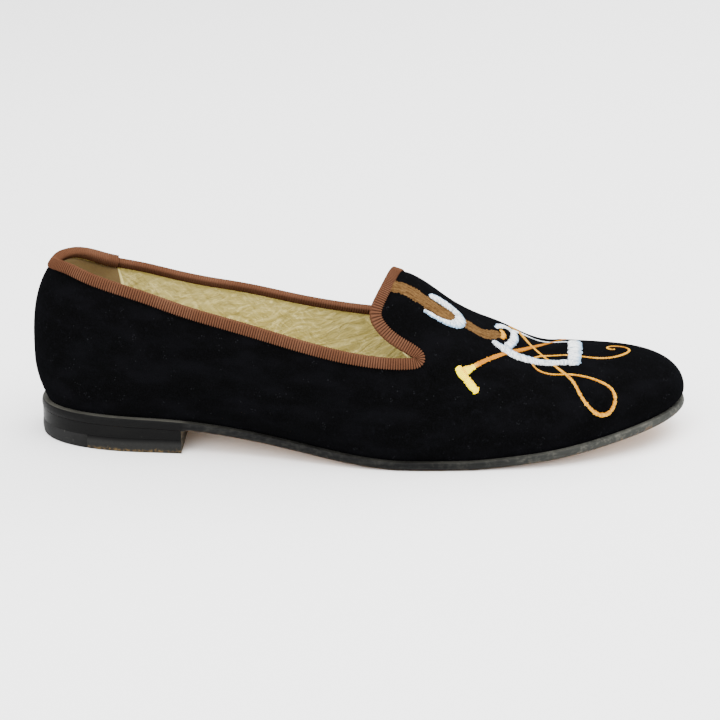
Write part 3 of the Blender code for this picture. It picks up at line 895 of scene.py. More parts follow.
def wall_shell(rows, face, feather, face_depth, back_depth):
    """A closed wall: its shown face, a hem over the sole, and a coarser back at another depth."""
    back = offset_points(rows[::-HIDDEN_EVERY], -back_depth)
    hems = [hem(feather, face_depth)[None], hem(feather, back_depth)[None]]
    points = np.concatenate([face, *hems, back])
    return points, grid_quads(len(points), points.shape[1], True, True)


def soft_step(values, low, high):
    """0 at low, 1 at high and a soft step between."""
    share = np.clip((values - low) / (high - low), 0, 1)
    return share * share * (3 - 2 * share)


PRESSED_BY_RIBBON = 0.0003
PRESSED_WIDTH = 0.0030
HIDDEN_MIDDLE = 0.5         # rows under the ribbon, as shares of its width
HIDDEN_EDGE = 0.9
SEAM_DEPTH = 0.0005
SEAM_HALF_WIDTH = 0.0011
SEAM_FADE = 0.0020
VELVET_THICK = 0.0011


def make_velvet(settings, colours):
    """The velvet: rows of places from the collar to the feather line, lifted square to the last.

    The lift is a roll beside the ribbon, less a seam down the back and the soft troughs of the
    creases. A second wall a millimetre inside closes the shell under the ribbon and at the hem.
    """
    collar, feather = columns(VELVET_COLUMNS)
    away = away_from_opening(collar)
    middle, edge = (places_beyond(collar, away, BINDING_WIDTH * at) for at in (HIDDEN_MIDDLE, HIDDEN_EDGE))
    rows = np.stack([collar, middle, edge, *wall_rows(edge, feather, VELVET_ROWS, ROW_PULL)])
    base = last_points(rows)
    down = running_lengths(rows)
    lift = soft_step(down, BINDING_WIDTH, BINDING_WIDTH + PRESSED_WIDTH) * PRESSED_BY_RIBBON
    lift -= soft_troughs(base, VELVET_CREASES, 0.0) * settings.crease_depth
    seam = np.exp(-((base[..., 1] - base[0, 0, 1]) / SEAM_HALF_WIDTH) ** 2)
    behind = base[..., 0] < HEEL_ROUND / 2
    lift -= behind * seam * SEAM_DEPTH * soft_step(down, BINDING_WIDTH, BINDING_WIDTH + SEAM_FADE)
    face = base + lift[..., None] * outwards(rows)
    points, quads = wall_shell(rows, face, feather, 0.0, VELVET_THICK)
    add_piece("velvet_upper", points, quads, velvet_finish(colours), replaces="upper", slot="velvet")


LINING_GAP = 0.0012
LINING_TOP = 0.0010
STITCHED_AT = 0.0036        # the line pulled in where the ribbon is sewn through the lining
STITCHED_WIDTH = 0.0007
STITCHED_DEPTH = 0.0004


def make_lining(settings, colours):
    """The lining: the last's own surface two millimetres inside, with its wrinkles pressed in."""
    collar, feather = columns(LINING_COLUMNS)
    edge = places_beyond(collar, away_from_opening(collar), LINING_TOP)
    rows = np.stack([edge, *wall_rows(edge, feather, LINING_ROWS, pull=1.0)])
    base = offset_points(rows, -UPPER_WALL)
    lift = soft_troughs(base, LINING_WRINKLES, -UPPER_WALL) * settings.wrinkle_depth
    lift += np.exp(-((running_lengths(rows) - STITCHED_AT) / STITCHED_WIDTH) ** 2) * STITCHED_DEPTH
    face = base + lift[..., None] * outwards(rows)
    points, quads = wall_shell(rows, face, feather, UPPER_WALL, LINING_GAP)
    add_piece("lining", points, quads, lining_finish(colours), slot="sock")


GRIP_COLUMNS = 240
GRIP_ROWS = 60
GRIP_AHEAD = 0.0284
GRIP_SLANT = 0.0070
GRIP_SLANT_POWER = 8
GRIP_THICK = 0.0007
GRIP_SUNK = 0.0002
GRIP_TOP = 0.0030
GRIP_DROP = 0.0300
GRIP_EDGE_POWERS = (24, 16)


def collar_share(ahead, side):
    """Share of the collar's length at the point that is this far ahead of the heel, on one side."""
    on_side = COLLAR_CURVE[:, 1] * side > 0
    off = np.where(on_side, np.abs(COLLAR_SPACE[:, 0] - ahead), np.inf)
    return COLLAR_SHARES[off.argmin()]


def make_heel_grip(colours):
    """The suede grip: a thin shell inside the lining, from one side round the heel to the other."""
    where = np.linspace(collar_share(GRIP_AHEAD, 1) - 1, collar_share(GRIP_AHEAD, -1), GRIP_COLUMNS)
    collar = read_loop(COLLAR_CURVE, COLLAR_SHARES, where % 1)
    heading = unit(np.gradient(last_points(collar), axis=0))
    away = unit(np.cross(heading, outwards(collar)))
    down = np.linspace(GRIP_TOP, GRIP_DROP, GRIP_ROWS)
    rows = [places_beyond(collar, away, down[0])]
    for step in np.diff(down):
        rows.append(places_beyond(rows[-1], away, step))
    rows = np.stack(rows)
    u, v = np.linspace(-1, 1, GRIP_COLUMNS), np.linspace(-1, 1, GRIP_ROWS)
    rows[..., 0] += GRIP_SLANT * (v[:, None] + 1) / 2 * np.abs(u) ** GRIP_SLANT_POWER
    full = ((1 - u ** GRIP_EDGE_POWERS[0]) * (1 - v[:, None] ** GRIP_EDGE_POWERS[1])) ** 0.5
    front = offset_points(rows, -UPPER_WALL - GRIP_THICK * full)
    points, quads = sheet_shell(front, offset_points(rows, GRIP_SUNK - UPPER_WALL))
    uv = sheet_uv((u + 1) / 2, (v + 1) / 2, quads)
    add_piece("heel_grip", points, quads, suede_finish(colours), uv, slot="sock")


# The ribbon round the collar
RIB_COLUMNS = 6
RIB_TEETH = 0.00035         # how far the nap reaches in between the ribs at the ribbon's edge
FOLD_POINTS = 9
LAP_AHEAD = 0.0272
LAP_LENGTH = 0.0270
LAP_THICK = 0.0010
LAP_RAMP = 0.7              # share of the lap over which it thins out
LAP_END = 0.9               # how thick the lap ends, as a share of the ribbon
HEADING_STEP = 0.0004
TONGUE_SHARE = 0.51
TONGUE_REACH = 0.05
TONGUE_PRESS = 0.45
RIB_LINE = 0.75             # share of the ribbon's width at which its ribs are evenly spaced

# Bends of the ribbon's section: share of its width from the collar's edge, share of its thickness
OUTSIDE_BENDS = ((0.5, 0.12), (0.85, 0.0), (1.0, -0.45))
INSIDE_BENDS = ((1.0, 0.4), (0.8, 0.0))


def ribbon_profile(thick):
    """The folded ribbon's section, a channel round the wall: distances from the edge, and heights."""
    near, far = GAP, GAP + thick
    deep, middle = -UPPER_WALL, -UPPER_WALL / 2
    turn = np.linspace(-np.pi / 2, np.pi / 2, FOLD_POINTS)
    fold = np.stack([-GAP - thick * np.cos(turn), middle + (far - middle) * np.sin(turn)], axis=1)
    outside = [(BINDING_WIDTH * run, far + thick * up) for run, up in OUTSIDE_BENDS]
    corners = [(BINDING_WIDTH, near), (-GAP, near), (-GAP, deep - near), (BINDING_INSIDE, deep - near)]
    inside = [(BINDING_INSIDE * run, deep - far + thick * up) for run, up in INSIDE_BENDS]
    return np.vstack([fold, outside, corners, inside])


def ribbon_line(settings):
    """Shares of the collar at the ribbon's columns, and the number of ribs up to each column."""
    fine = np.arange(COLLAR_POINTS + 1) / COLLAR_POINTS
    collar = read_loop(COLLAR_CURVE, COLLAR_SHARES, fine[:-1])
    middle = last_points(collar) + away_from_opening(collar) * BINDING_WIDTH * RIB_LINE
    ribs = int(round(loop_steps(middle).sum() / settings.rib_pitch))
    evenly = np.arange(ribs * RIB_COLUMNS) / (ribs * RIB_COLUMNS)
    return np.interp(evenly, loop_shares(middle), fine), evenly * ribs


def ribbon_rings(where, ribs, thick, rib_height):
    """The ribbon's section carried along the collar at the given shares, ribbed square to its edge."""
    collar = read_loop(COLLAR_CURVE, COLLAR_SHARES, where % 1)
    points = last_points(collar)
    ahead = read_loop(COLLAR_SPACE, COLLAR_SHARES, (where + HEADING_STEP) % 1)
    behind = read_loop(COLLAR_SPACE, COLLAR_SHARES, (where - HEADING_STEP) % 1)
    away = unit(np.cross(unit(ahead - behind), outwards(collar)))
    wave = np.cos(2 * np.pi * ribs)
    press = 1 - TONGUE_PRESS * np.exp(-((where - TONGUE_SHARE) / TONGUE_REACH) ** 2)
    rings = []
    for run, height in ribbon_profile(thick):
        face = int(height > GAP + thick / 3) - int(height < -UPPER_WALL - GAP - thick / 3)
        crown = int(run < -GAP - thick / 2)
        tooth = RIB_TEETH * (0.5 - 0.5 * wave) * (run == BINDING_WIDTH)
        reach = np.where(run < 0, run * press, run) - crown * rib_height * wave - tooth
        lifted = np.where(height > 0, height * press, height) + face * rib_height * wave
        places = nearest_places(points + away * reach[:, None], collar)
        rings.append(offset_points(places, lifted))
    return np.stack(rings)


def make_ribbon(settings, colours):
    """Ribbon folded over the collar's edge all the way round, with one lap near the back."""
    finish = ribbon_finish(colours)
    where, ribs = ribbon_line(settings)
    count = len(where)
    rings = ribbon_rings(where, ribs, BINDING_THICK, settings.rib_height)
    v = np.linspace(0, 1, len(rings) + 1)
    uv = grid_uv(np.arange(count + 1) / RIB_COLUMNS, v)
    quads = grid_quads(len(rings), count, True, True)
    add_piece("ribbon_binding", rings, quads, finish, uv, "topline_binding", "ribbon")
    first = int(np.searchsorted(where, collar_share(LAP_AHEAD, 1)))
    lap = slice(first, first + int(LAP_LENGTH / COLLAR_LENGTH * count))
    thick = ribbon_rings(where[lap], ribs[lap], BINDING_THICK + LAP_THICK, settings.rib_height)
    flush = ribbon_rings(where[lap], ribs[lap], BINDING_THICK * LAP_END, 0)
    share = soft_step(np.linspace(1, 0, thick.shape[1]), 0.0, LAP_RAMP)[None, :, None]
    rings = thick * share + flush * (1 - share)
    quads = capped_tube(rings)
    add_piece("ribbon_lap", rings, quads, finish, capped_uv(ribs[lap], v, quads), slot="ribbon")


# The sole
SOLE_STATIONS = 300
HEEL_STATIONS = 160


def station_ring(offset, stations, start=None, ends=(None, None)):
    """A ring at the seat's height whose stations match from side to side, cut square at its ends."""
    loop = plan_outline(offset)
    turn = int(loop[:, 0].argmax())
    back = plan_outline(SOLE_MARGIN)[:, 0].min()
    shares = (1 - np.cos(np.pi * (np.arange(stations) + 0.5) / stations)) / 2
    sides = []
    for side, end in ((loop[:turn + 1], ends[0]), (loop[turn:], ends[1])):
        low = loop[:, 0].min() if start is None else back + start
        high = loop[:, 0].max() if end is None else back + end
        x = low + (high - low) * shares
        x[0] = x[0] if start is None else low
        x[-1] = x[-1] if end is None else high
        order = np.argsort(side[:, 0])
        sides.append(np.stack([x, np.interp(x, side[order, 0], side[order, 1]), seat_height(x)], axis=1))
    return np.vstack([sides[0], sides[1][::-1]])


LEDGE_INSET = 0.0045
RIM_INSET = 0.0006
SOLE_ROUND = 0.0012
WELT_ROUND = 0.0007
SIDE_CROWN = 0.00025
QUARTER = np.linspace(0, np.pi / 2, 6)
SIDE_PLACES = (0.25, 0.5, 0.75)


def edge_profile(top, bottom, thick, bulge=SIDE_CROWN):
    """Inset and drop of a slab's edge: a flat, a rounded top corner, a crowned side, a rounded foot."""
    upper = [(top * (1 - np.sin(a)), top * (1 - np.cos(a))) for a in QUARTER]
    straight = thick - top - bottom
    sides = [(-bulge * np.sin(np.pi * share), top + straight * share) for share in SIDE_PLACES]
    lower = [(bottom * (1 - np.cos(a)), thick - bottom * (1 - np.sin(a))) for a in QUARTER]
    flat = [(LEDGE_INSET, 0.0), (top + RIM_INSET, 0.0)]
    return [*flat, *upper, *sides, *lower, (bottom + RIM_INSET, thick), (LEDGE_INSET, thick)]


WEAR_SEED = 3
WEAR_DROPS = (0.0003, 0.0020)
WEAR_WAVES = np.array([0.061, 0.037, 0.019, 0.011, 0.0067])


def uneven(x, depth):
    """A slow wander along the shoe, in metres, from a few sine waves with random phases."""
    phases = np.random.default_rng(WEAR_SEED).uniform(0, 2 * np.pi, len(WEAR_WAVES))
    waves = np.sin(2 * np.pi * x[..., None] / WEAR_WAVES + phases) * WEAR_WAVES / WEAR_WAVES[0]
    return depth * waves.sum(axis=-1)


JOINT = 0.00005             # left between pieces that are trimmed and inked as one
CORNER = 0.0002
SEAT_FADE = 0.0040


def make_outsole(settings, colours):
    """The outsole: its edge carried round the outline, square below where the heel is built on."""
    rings = []
    free = edge_profile(WELT_ROUND, SOLE_ROUND, OUTSOLE_THICK)
    seated = edge_profile(WELT_ROUND, CORNER, OUTSOLE_THICK)
    breast = plan_outline(SOLE_MARGIN)[:, 0].min() + HEEL_LENGTH
    for (inset, drop), (seat_inset, seat_drop) in zip(free, seated):
        ring = station_ring(SOLE_MARGIN - inset, SOLE_STATIONS)
        ring[:, 2] -= drop
        square = station_ring(SOLE_MARGIN - seat_inset, SOLE_STATIONS)
        square[:, 2] -= seat_drop
        away = soft_step(ring[:, 0], breast, breast + SEAT_FADE)
        worn = soft_step(drop, *WEAR_DROPS) * (drop < OUTSOLE_THICK) * away
        ring[:, 1] -= np.sign(ring[:, 1]) * worn * np.abs(uneven(ring[:, 0], settings.wear))
        rings.append(square + (ring - square) * away[:, None])
    add_stack("leather_outsole", rings, sole_finish(colours), replaces="outsole", slot="sole")


BREAST_TRIM = 0.0004
LIFT_ROUND = 0.0006

# Layers under the heel: piece, node, start and end ahead of the heel's back, finish, slot
LIFTS = (
    ("worn_top_lift", "top_lift", RUBBER_LENGTH + JOINT, HEEL_LENGTH, lift_finish, "lift"),
    ("rubber_heel_tip", "rubber_tip", None, RUBBER_LENGTH, rubber_finish, "rubber"),
)


def make_heel(colours):
    """The heel: a stack whose breast leans on its inner side, and the lift and rubber tip under it."""
    rings = []
    for inset, share in edge_profile(CORNER, CORNER, 1.0, 0.0):
        lean = BREAST_LEAN * ((1 - share) * (1 - 2 * share * (1 - 2 * BREAST_BEND)))
        ends = (HEEL_LENGTH - inset, HEEL_LENGTH + lean - inset)
        ring = station_ring(SOLE_MARGIN - inset, HEEL_STATIONS, None, ends)
        top, base = ring[:, 2] - OUTSOLE_THICK - JOINT, TOP_LIFT_THICK + JOINT
        ring[:, 2] = top + (base - top) * share
        rings.append(ring)
    add_stack("heel_block", rings, heel_finish(colours), replaces="heel_stack", slot="heel", sharp=True)
    for name, node, start, end, finish, slot in LIFTS:
        rings = []
        for inset, drop in edge_profile(CORNER, LIFT_ROUND, TOP_LIFT_THICK):
            trim = min(max(inset, 0.0), BREAST_TRIM)
            trimmed = None if start is None else start + trim
            ring = station_ring(SOLE_MARGIN - inset, HEEL_STATIONS, trimmed, (end - trim, end - trim))
            ring[:, 2] = TOP_LIFT_THICK - drop
            rings.append(ring)
        add_stack(name, rings, finish(colours), replaces=node, slot=slot, sharp=True)


SOCK_ACROSS = 60
SOCK_SINK = 0.0006
SOCK_DOME = 0.00025
SOCK_RIM_POWER = 8
SOCK_BELOW = 0.0003


def make_sock(colours):
    """The insole's cover: a grid of stations by places across, sunk under the heel and the ball."""
    ring = station_ring(-UPPER_WALL - INSOLE_CLEARANCE, SOLE_STATIONS)
    outer, inner = ring[:SOLE_STATIONS], ring[:SOLE_STATIONS - 1:-1]
    across = (1 - np.cos(np.pi * np.linspace(0, 1, SOCK_ACROSS))) / 2
    plan = outer[:, None] + (inner - outer)[:, None] * across[:, None]
    x, y = plan[..., 0] + SHIFT[0], plan[..., 1] + SHIFT[1]
    heel, ball = (np.exp(-spread(x, y, middle, dip)) for middle, dip, _ in (HEEL_REST, BALL_REST))
    rim = np.minimum(across, 1 - across) * 2
    sunk = SOCK_SINK * (heel + ball) - SOCK_DOME * (1 - (1 - rim) ** SOCK_RIM_POWER)
    top = plan + np.array([0, 0, 1.0]) * (GAP + INSOLE_THICK - SOCK_BELOW - sunk)[..., None]
    points, quads = sheet_shell(top, plan + np.array([0, 0, GAP]))
    add_piece("sock", points, quads, sock_finish(colours), replaces="insole", slot="sock")


# Routes of the embroidery seen from above: x, y and stitch width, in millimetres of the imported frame
STRAP = [
    (11.0, -19.0, 6.8), (14.0, -18.7, 7.2), (18.0, -18.1, 7.8), (22.5, -18.0, 8.2), (27.3, -18.0, 8.3),
    (32.0, -17.1, 8.5), (35.6, -15.6, 8.6), (39.6, -14.2, 8.0),
]
KEEPER = [
    (28.0, -13.2, 2.4), (30.4, -11.0, 4.2), (33.6, -9.3, 5.4), (37.2, -8.6, 5.4), (39.8, -10.2, 5.0),
    (40.5, -13.4, 4.8), (39.0, -17.2, 4.2), (35.8, -20.0, 2.9), (31.8, -21.8, 2.2), (28.4, -22.6, 1.9),
    (25.8, -23.0, 1.3),
]
LOWER_STRAP = [
    (40.6, -13.2, 6.8), (44.8, -12.7, 7.4), (48.2, -13.0, 6.6), (51.6, -12.0, 6.1), (55.0, -8.4, 6.0),
    (58.0, -5.6, 6.0),
]
STRAP_END = [
    (57.0, -1.6, 1.6), (58.1, -3.8, 2.2), (58.2, -6.6, 2.2), (57.4, -9.8, 1.6),
]
EYE = [
    (55.3, -1.4, 1.8), (56.6, 2.4, 2.8), (59.2, 6.2, 3.4), (61.9, 5.8, 3.8), (63.0, 1.0, 3.7),
    (62.4, -4.6, 3.6), (61.2, -9.4, 3.6), (59.4, -13.8, 3.8),
]
NEAR_BRANCH = [
    (53.6, -15.0, 2.2), (55.6, -15.8, 3.6), (58.8, -16.3, 4.6), (62.4, -16.3, 4.4), (67.2, -14.4, 4.2),
    (72.4, -12.0, 3.8), (79.0, -9.4, 3.9), (84.6, -8.8, 4.0), (88.0, -8.6, 4.0),
]
FAR_BRANCH = [
    (62.4, 7.4, 2.2), (64.6, 11.0, 1.7), (68.0, 12.8, 1.4), (72.0, 13.2, 1.2), (77.0, 14.4, 1.2),
    (82.4, 15.4, 1.4), (87.4, 15.8, 2.0),
]
TREAD = [
    (88.6, 17.4, 4.8), (88.6, 12.0, 5.2), (88.3, 5.0, 5.5), (87.7, -3.0, 5.4), (86.8, -10.3, 5.0),
]
SHAFT = [
    (44.4, -31.9, 2.0), (49.8, -27.4, 2.0), (57.5, -19.9, 2.0), (65.6, -9.0, 1.9), (74.0, 6.6, 1.5),
    (80.9, 17.0, 1.1), (85.6, 22.6, 0.7),
]
HANDLE = [
    (39.3, -33.2, 3.0), (41.0, -34.1, 3.8), (43.6, -35.1, 3.5), (46.0, -36.0, 3.3), (47.8, -36.4, 2.6),
]
HANDLE_NECK = [
    (41.8, -33.6, 4.0), (44.2, -32.0, 2.9), (46.6, -30.1, 2.3),
]
THONG = [
    (60.6, 12.6, 0.8), (63.6, 13.4, 1.1), (65.9, 10.4, 1.2), (68.1, 4.4, 1.3), (71.1, -1.0, 1.3),
    (75.0, -5.8, 1.4), (79.0, -11.4, 1.5), (83.3, -17.0, 1.5), (86.2, -20.9, 1.5), (88.3, -25.0, 1.5),
    (90.8, -28.0, 1.6), (94.3, -29.0, 1.7), (98.0, -28.0, 1.7), (101.6, -25.9, 1.7),
    (103.0, -23.4, 1.6), (102.2, -21.2, 1.5), (99.8, -19.6, 1.5), (96.2, -18.4, 1.4),
    (91.6, -17.4, 1.2), (86.4, -17.0, 1.1), (80.8, -17.4, 1.1), (75.7, -18.0, 1.0), (71.6, -17.6, 1.0),
    (69.6, -14.9, 1.0), (70.7, -10.4, 1.0), (74.2, -5.6, 1.0), (78.9, -2.8, 0.9), (84.2, -2.4, 0.9),
    (90.8, -3.2, 1.0), (96.0, -4.0, 1.1), (101.4, -3.3, 1.1), (106.6, -0.2, 1.1), (110.0, 4.2, 1.1),
    (110.4, 7.6, 1.0), (108.4, 9.6, 0.9), (105.2, 9.8, 0.9), (102.4, 8.4, 0.9), (101.6, 6.4, 0.8),
    (103.2, 5.2, 0.8), (104.8, 5.8, 0.6),
]

# Stitched pieces in sewing order: route, thread, base and height in millimetres, way of the threads
STITCHED = (
    ("embroidered_strap", STRAP, "brown", 0.00, 0.55, "along"),
    ("embroidered_lower_strap", LOWER_STRAP, "brown", 0.00, 0.55, "along"),
    ("embroidered_keeper", KEEPER, "white", 0.30, 0.55, "across"),
    ("embroidered_strap_end", STRAP_END, "ochre", 0.35, 0.40, "across"),
    ("embroidered_whip_shaft", SHAFT, "ochre", 0.05, 0.45, "along"),
    ("embroidered_thong", THONG, "ochre", 0.10, 0.45, "across"),
    ("embroidered_far_branch", FAR_BRANCH, "white", 0.05, 0.40, "across"),
    ("embroidered_stirrup_eye", EYE, "white", 0.15, 0.60, "across"),
    ("embroidered_near_branch", NEAR_BRANCH, "white", 0.35, 0.60, "across"),
    ("embroidered_tread", TREAD, "white", 0.35, 0.60, "across"),
    ("embroidered_handle_neck", HANDLE_NECK, "yellow", 0.15, 0.50, "across"),
    ("embroidered_handle", HANDLE, "yellow", 0.25, 0.70, "across"),
)
STITCH_SUNK = 0.0003
STITCH_COLUMNS = 11
EVEN_WIDTH = 0.0016
ROWS_PER_THREAD = 4
FEWEST_STITCHES = 4
THINNEST = 0.00012
ROUTE_POINTS = 200
END_LENGTH = 0.8            # how long a band's rounded end is, as a share of its half width
END_SHAPE = 2.6
END_LEAST = 0.02
STROKE = 0.0050             # length of one run of thread along a strap
MARKS = 260
MARKS_AHEAD = (0.45, 1.0)
MARKS_ACROSS = (-0.70, 0.60)


def marks():
    """A grid of places over the vamp and toe, with their points seen from above."""
    ahead, across = np.linspace(*MARKS_AHEAD, MARKS) * LAST_LENGTH, np.linspace(*MARKS_ACROSS, MARKS)
    x, girth = np.meshgrid(ahead, across)
    end = (x - np.clip(x, HEEL_ROUND, LAST_LENGTH - TOE_ROUND)) / TOE_ROUND
    depth = (np.abs(girth) ** END_POWER + np.abs(end) ** END_POWER) ** (1 / END_POWER)
    places = np.stack([x, girth], axis=-1)[depth < SIDE_SHARE]
    return places, last_points(places)[:, :2]


def places_under(plan, marked):
    """Places on the last straight under points seen from above, by Newton steps from the nearest mark."""
    places, seen = marked
    found = places[np.linalg.norm(plan[:, None, :] - seen, axis=2).argmin(axis=1)]
    for _ in range(NEWTON_STEPS):
        slopes = np.stack(last_slopes(found), axis=2)[:, :2]
        missing = plan - last_points(found)[:, :2]
        found += np.linalg.solve(slopes, missing[:, :, None])[:, :, 0]
    return found


def laid_route(route, pitch, marked):
    """A route laid on the last: its places, lengths and half widths at each row of its threads."""
    curve = curve_through(np.array(route), ROUTE_POINTS)
    line = places_under(curve[:, :2] * MM - SHIFT[:2], marked)
    lengths = running_lengths(line)
    stitches = max(int(lengths[-1] / pitch), FEWEST_STITCHES)
    where = np.linspace(0, lengths[-1], stitches * ROWS_PER_THREAD + 1)
    places = nearest_places(read_at(last_points(line), lengths, where), read_at(line, lengths, where))
    return places, where, np.interp(where, lengths, curve[:, 2]) * MM / 2


def stitched_band(name, route, finish, base, height, direction, settings, marked):
    """One stitched band: a spline through its route, laid on the last and spread square to itself.

    Across the band the threads stand on a low arch, sqrt(1 - a**4); at the ends the width falls
    on a superellipse. Each thread is a ripple on the arch, and its ends stand out a little more
    or less than its neighbours'.
    """
    across, pitch = direction == "across", settings.thread_pitch
    line, where, wide = laid_route(route, pitch, marked)
    count = len(where)
    near_end = np.clip(np.minimum(where, where[-1] - where) / (wide * END_LENGTH), 0, 1)
    wide = wide * (1 - (1 - near_end) ** END_SHAPE) ** (1 / END_SHAPE)
    stitches = count // ROWS_PER_THREAD + 1
    ends = np.random.default_rng(len(route) + count).normal(0, settings.raggedness, stitches)
    ends = np.repeat(ends, ROWS_PER_THREAD)[:count] * np.clip(wide / EVEN_WIDTH, 0, 1)
    wide = np.maximum(wide + ends, THINNEST)[:, None]
    points = last_points(line)
    side = unit(np.cross(outwards(line), unit(np.gradient(points, axis=0))))
    a = np.sin(np.linspace(-np.pi / 2, np.pi / 2, STITCH_COLUMNS))
    flat = points[:, None] + side[:, None] * (a * wide)[..., None]
    guess = np.repeat(line, STITCH_COLUMNS, axis=0)
    places = nearest_places(flat.reshape(-1, 3), guess).reshape(count, STITCH_COLUMNS, 2)
    arch = np.sqrt(np.clip(1 - a ** 4, 0, 1)) * np.clip(near_end, END_LEAST, 1)[:, None] ** 0.5
    ripple = np.cos(2 * np.pi * (where[:, None] if across else a * wide) / pitch)
    front = offset_points(places, (base + height * arch) * MM + settings.thread_relief * ripple * arch)
    points, quads = sheet_shell(front, offset_points(places, -STITCH_SUNK))
    if across:
        uv = sheet_uv((a + 1) / 2, where / pitch, quads)[:, ::-1]
    else:
        uv = sheet_uv(a * wide.mean() / pitch, where / STROKE, quads)
    add_piece(name, points, quads, finish, uv, slot="velvet")


def make_embroidery(settings, colours):
    """All stitched bands of the riding strap, stirrup and whip, in sewing order."""
    threads = {
        "brown": thread_finish("brown thread", colours.brown, colours.brown_dark_and_gap_shade, colours.brown_dark_and_gap_shade, True),
        "white": thread_finish("white thread", colours.white, colours.white_dark_and_gap_shade, colours.white_blue),
        "ochre": thread_finish("ochre thread", colours.ochre, colours.ochre_dark_and_gap_shade, colours.ochre_dark_and_gap_shade),
        "yellow": thread_finish("yellow thread", colours.yellow, colours.yellow_dark_and_gap_shade, colours.ochre),
    }
    marked = marks()
    for name, route, thread, base, height, direction in STITCHED:
        stitched_band(name, route, threads[thread], base, height, direction, settings, marked)


# The stage
AIM = (0.0009, 0.0, 0.035)
PHOTO_AZIMUTH = 2.0
PHOTO_ELEVATION = 21.0
PHOTO_DISTANCE = 0.9
PHOTO_SCALE = 2.434         # pixels of a 720 pixel frame per millimetre at the aim
PHOTO_FRAME = 720
AIM_PIXEL = (362.5, 351.0)
SENSOR = 36.0
FAR_CLIP = 20.0


def facing(direction):
    """The turn that makes a camera or a light look along a direction."""
    return Vector(direction).to_track_quat("-Z", "Y").to_euler()


def add_camera():
    """The photograph's own view: a long lens a little above the shoe, with AIM at AIM_PIXEL."""
    a, e = np.radians(PHOTO_AZIMUTH), np.radians(PHOTO_ELEVATION)
    back = np.array([np.sin(a) * np.cos(e), -np.cos(a) * np.cos(e), np.sin(e)])
    camera = bpy.data.cameras.new("camera")
    camera.sensor_width = SENSOR
    camera.lens = PHOTO_SCALE / MM * PHOTO_DISTANCE * SENSOR / PHOTO_FRAME
    camera.shift_x = (PHOTO_FRAME / 2 - AIM_PIXEL[0]) / PHOTO_FRAME
    camera.shift_y = (AIM_PIXEL[1] - PHOTO_FRAME / 2) / PHOTO_FRAME
    camera.clip_end = FAR_CLIP
    view = add_object("camera", camera)
    view.location = np.array(AIM) + back * PHOTO_DISTANCE
    view.rotation_euler = facing(-back)
    bpy.context.scene.camera = view


FLOOR_HALF = 6.0
SURROUND_STRENGTH = 1.6

# Soft lights: name, place, height that it aims at, width, height, watts
LIGHTS = (
    ("top light", (0.10, -0.25, 1.30), 0.02, 1.6, 1.2, 46.0),
    ("front light", (-0.70, -1.30, 0.85), 0.03, 1.2, 1.0, 25.0),
    ("far light", (0.75, 1.00, 1.05), 0.03, 1.4, 0.8, 24.0),
    ("toe light", (1.30, -0.55, 0.55), 0.03, 0.7, 0.7, 9.0),
)


def add_stage():
    """A pale floor, four soft lights and an even white surround."""
    corners = np.array([(-1, -1, 0), (1, -1, 0), (1, 1, 0), (-1, 1, 0)], dtype=float) * FLOOR_HALF
    mesh = bpy.data.meshes.new("floor")
    mesh.from_pydata(corners.tolist(), [], [(0, 1, 2, 3)])
    mesh.materials.append(Finish("pale floor", (0.90, 0.90, 0.90), 0.9, Specular_IOR_Level=0.1).material)
    add_object("floor", mesh)
    for name, place, aim, width, height, watts in LIGHTS:
        light = bpy.data.lights.new(name, "AREA")
        light.shape = "RECTANGLE"
        light.size, light.size_y = width, height
        light.energy = watts
        lamp = add_object(name, light)
        lamp.location = place
        lamp.rotation_euler = facing(Vector((0, 0, aim)) - Vector(place))
    world = bpy.data.worlds.new("surround")
    world.use_nodes = True
    background = world.node_tree.nodes["Background"].inputs
    background["Color"].default_value = (1, 1, 1, 1)
    background["Strength"].default_value = SURROUND_STRENGTH
    bpy.context.scene.world = world


# The add-on
def paint(name, description, red, green, blue):
    """A colour property, given as it looks on screen."""
    return bpy.props.FloatVectorProperty(name=name, description=description, subtype="COLOR", size=3,
                                         min=0, max=1, default=linear(red, green, blue))


def metres(name, description, value):
    """A length property in metres."""
    return bpy.props.FloatProperty(name=name, description=description, default=value, unit="LENGTH",
                                   subtype="DISTANCE", precision=5)


def factor(name, description, value):
    """A plain factor property."""
    return bpy.props.FloatProperty(name=name, description=description, default=value, min=0, max=3,
                                   subtype="FACTOR")


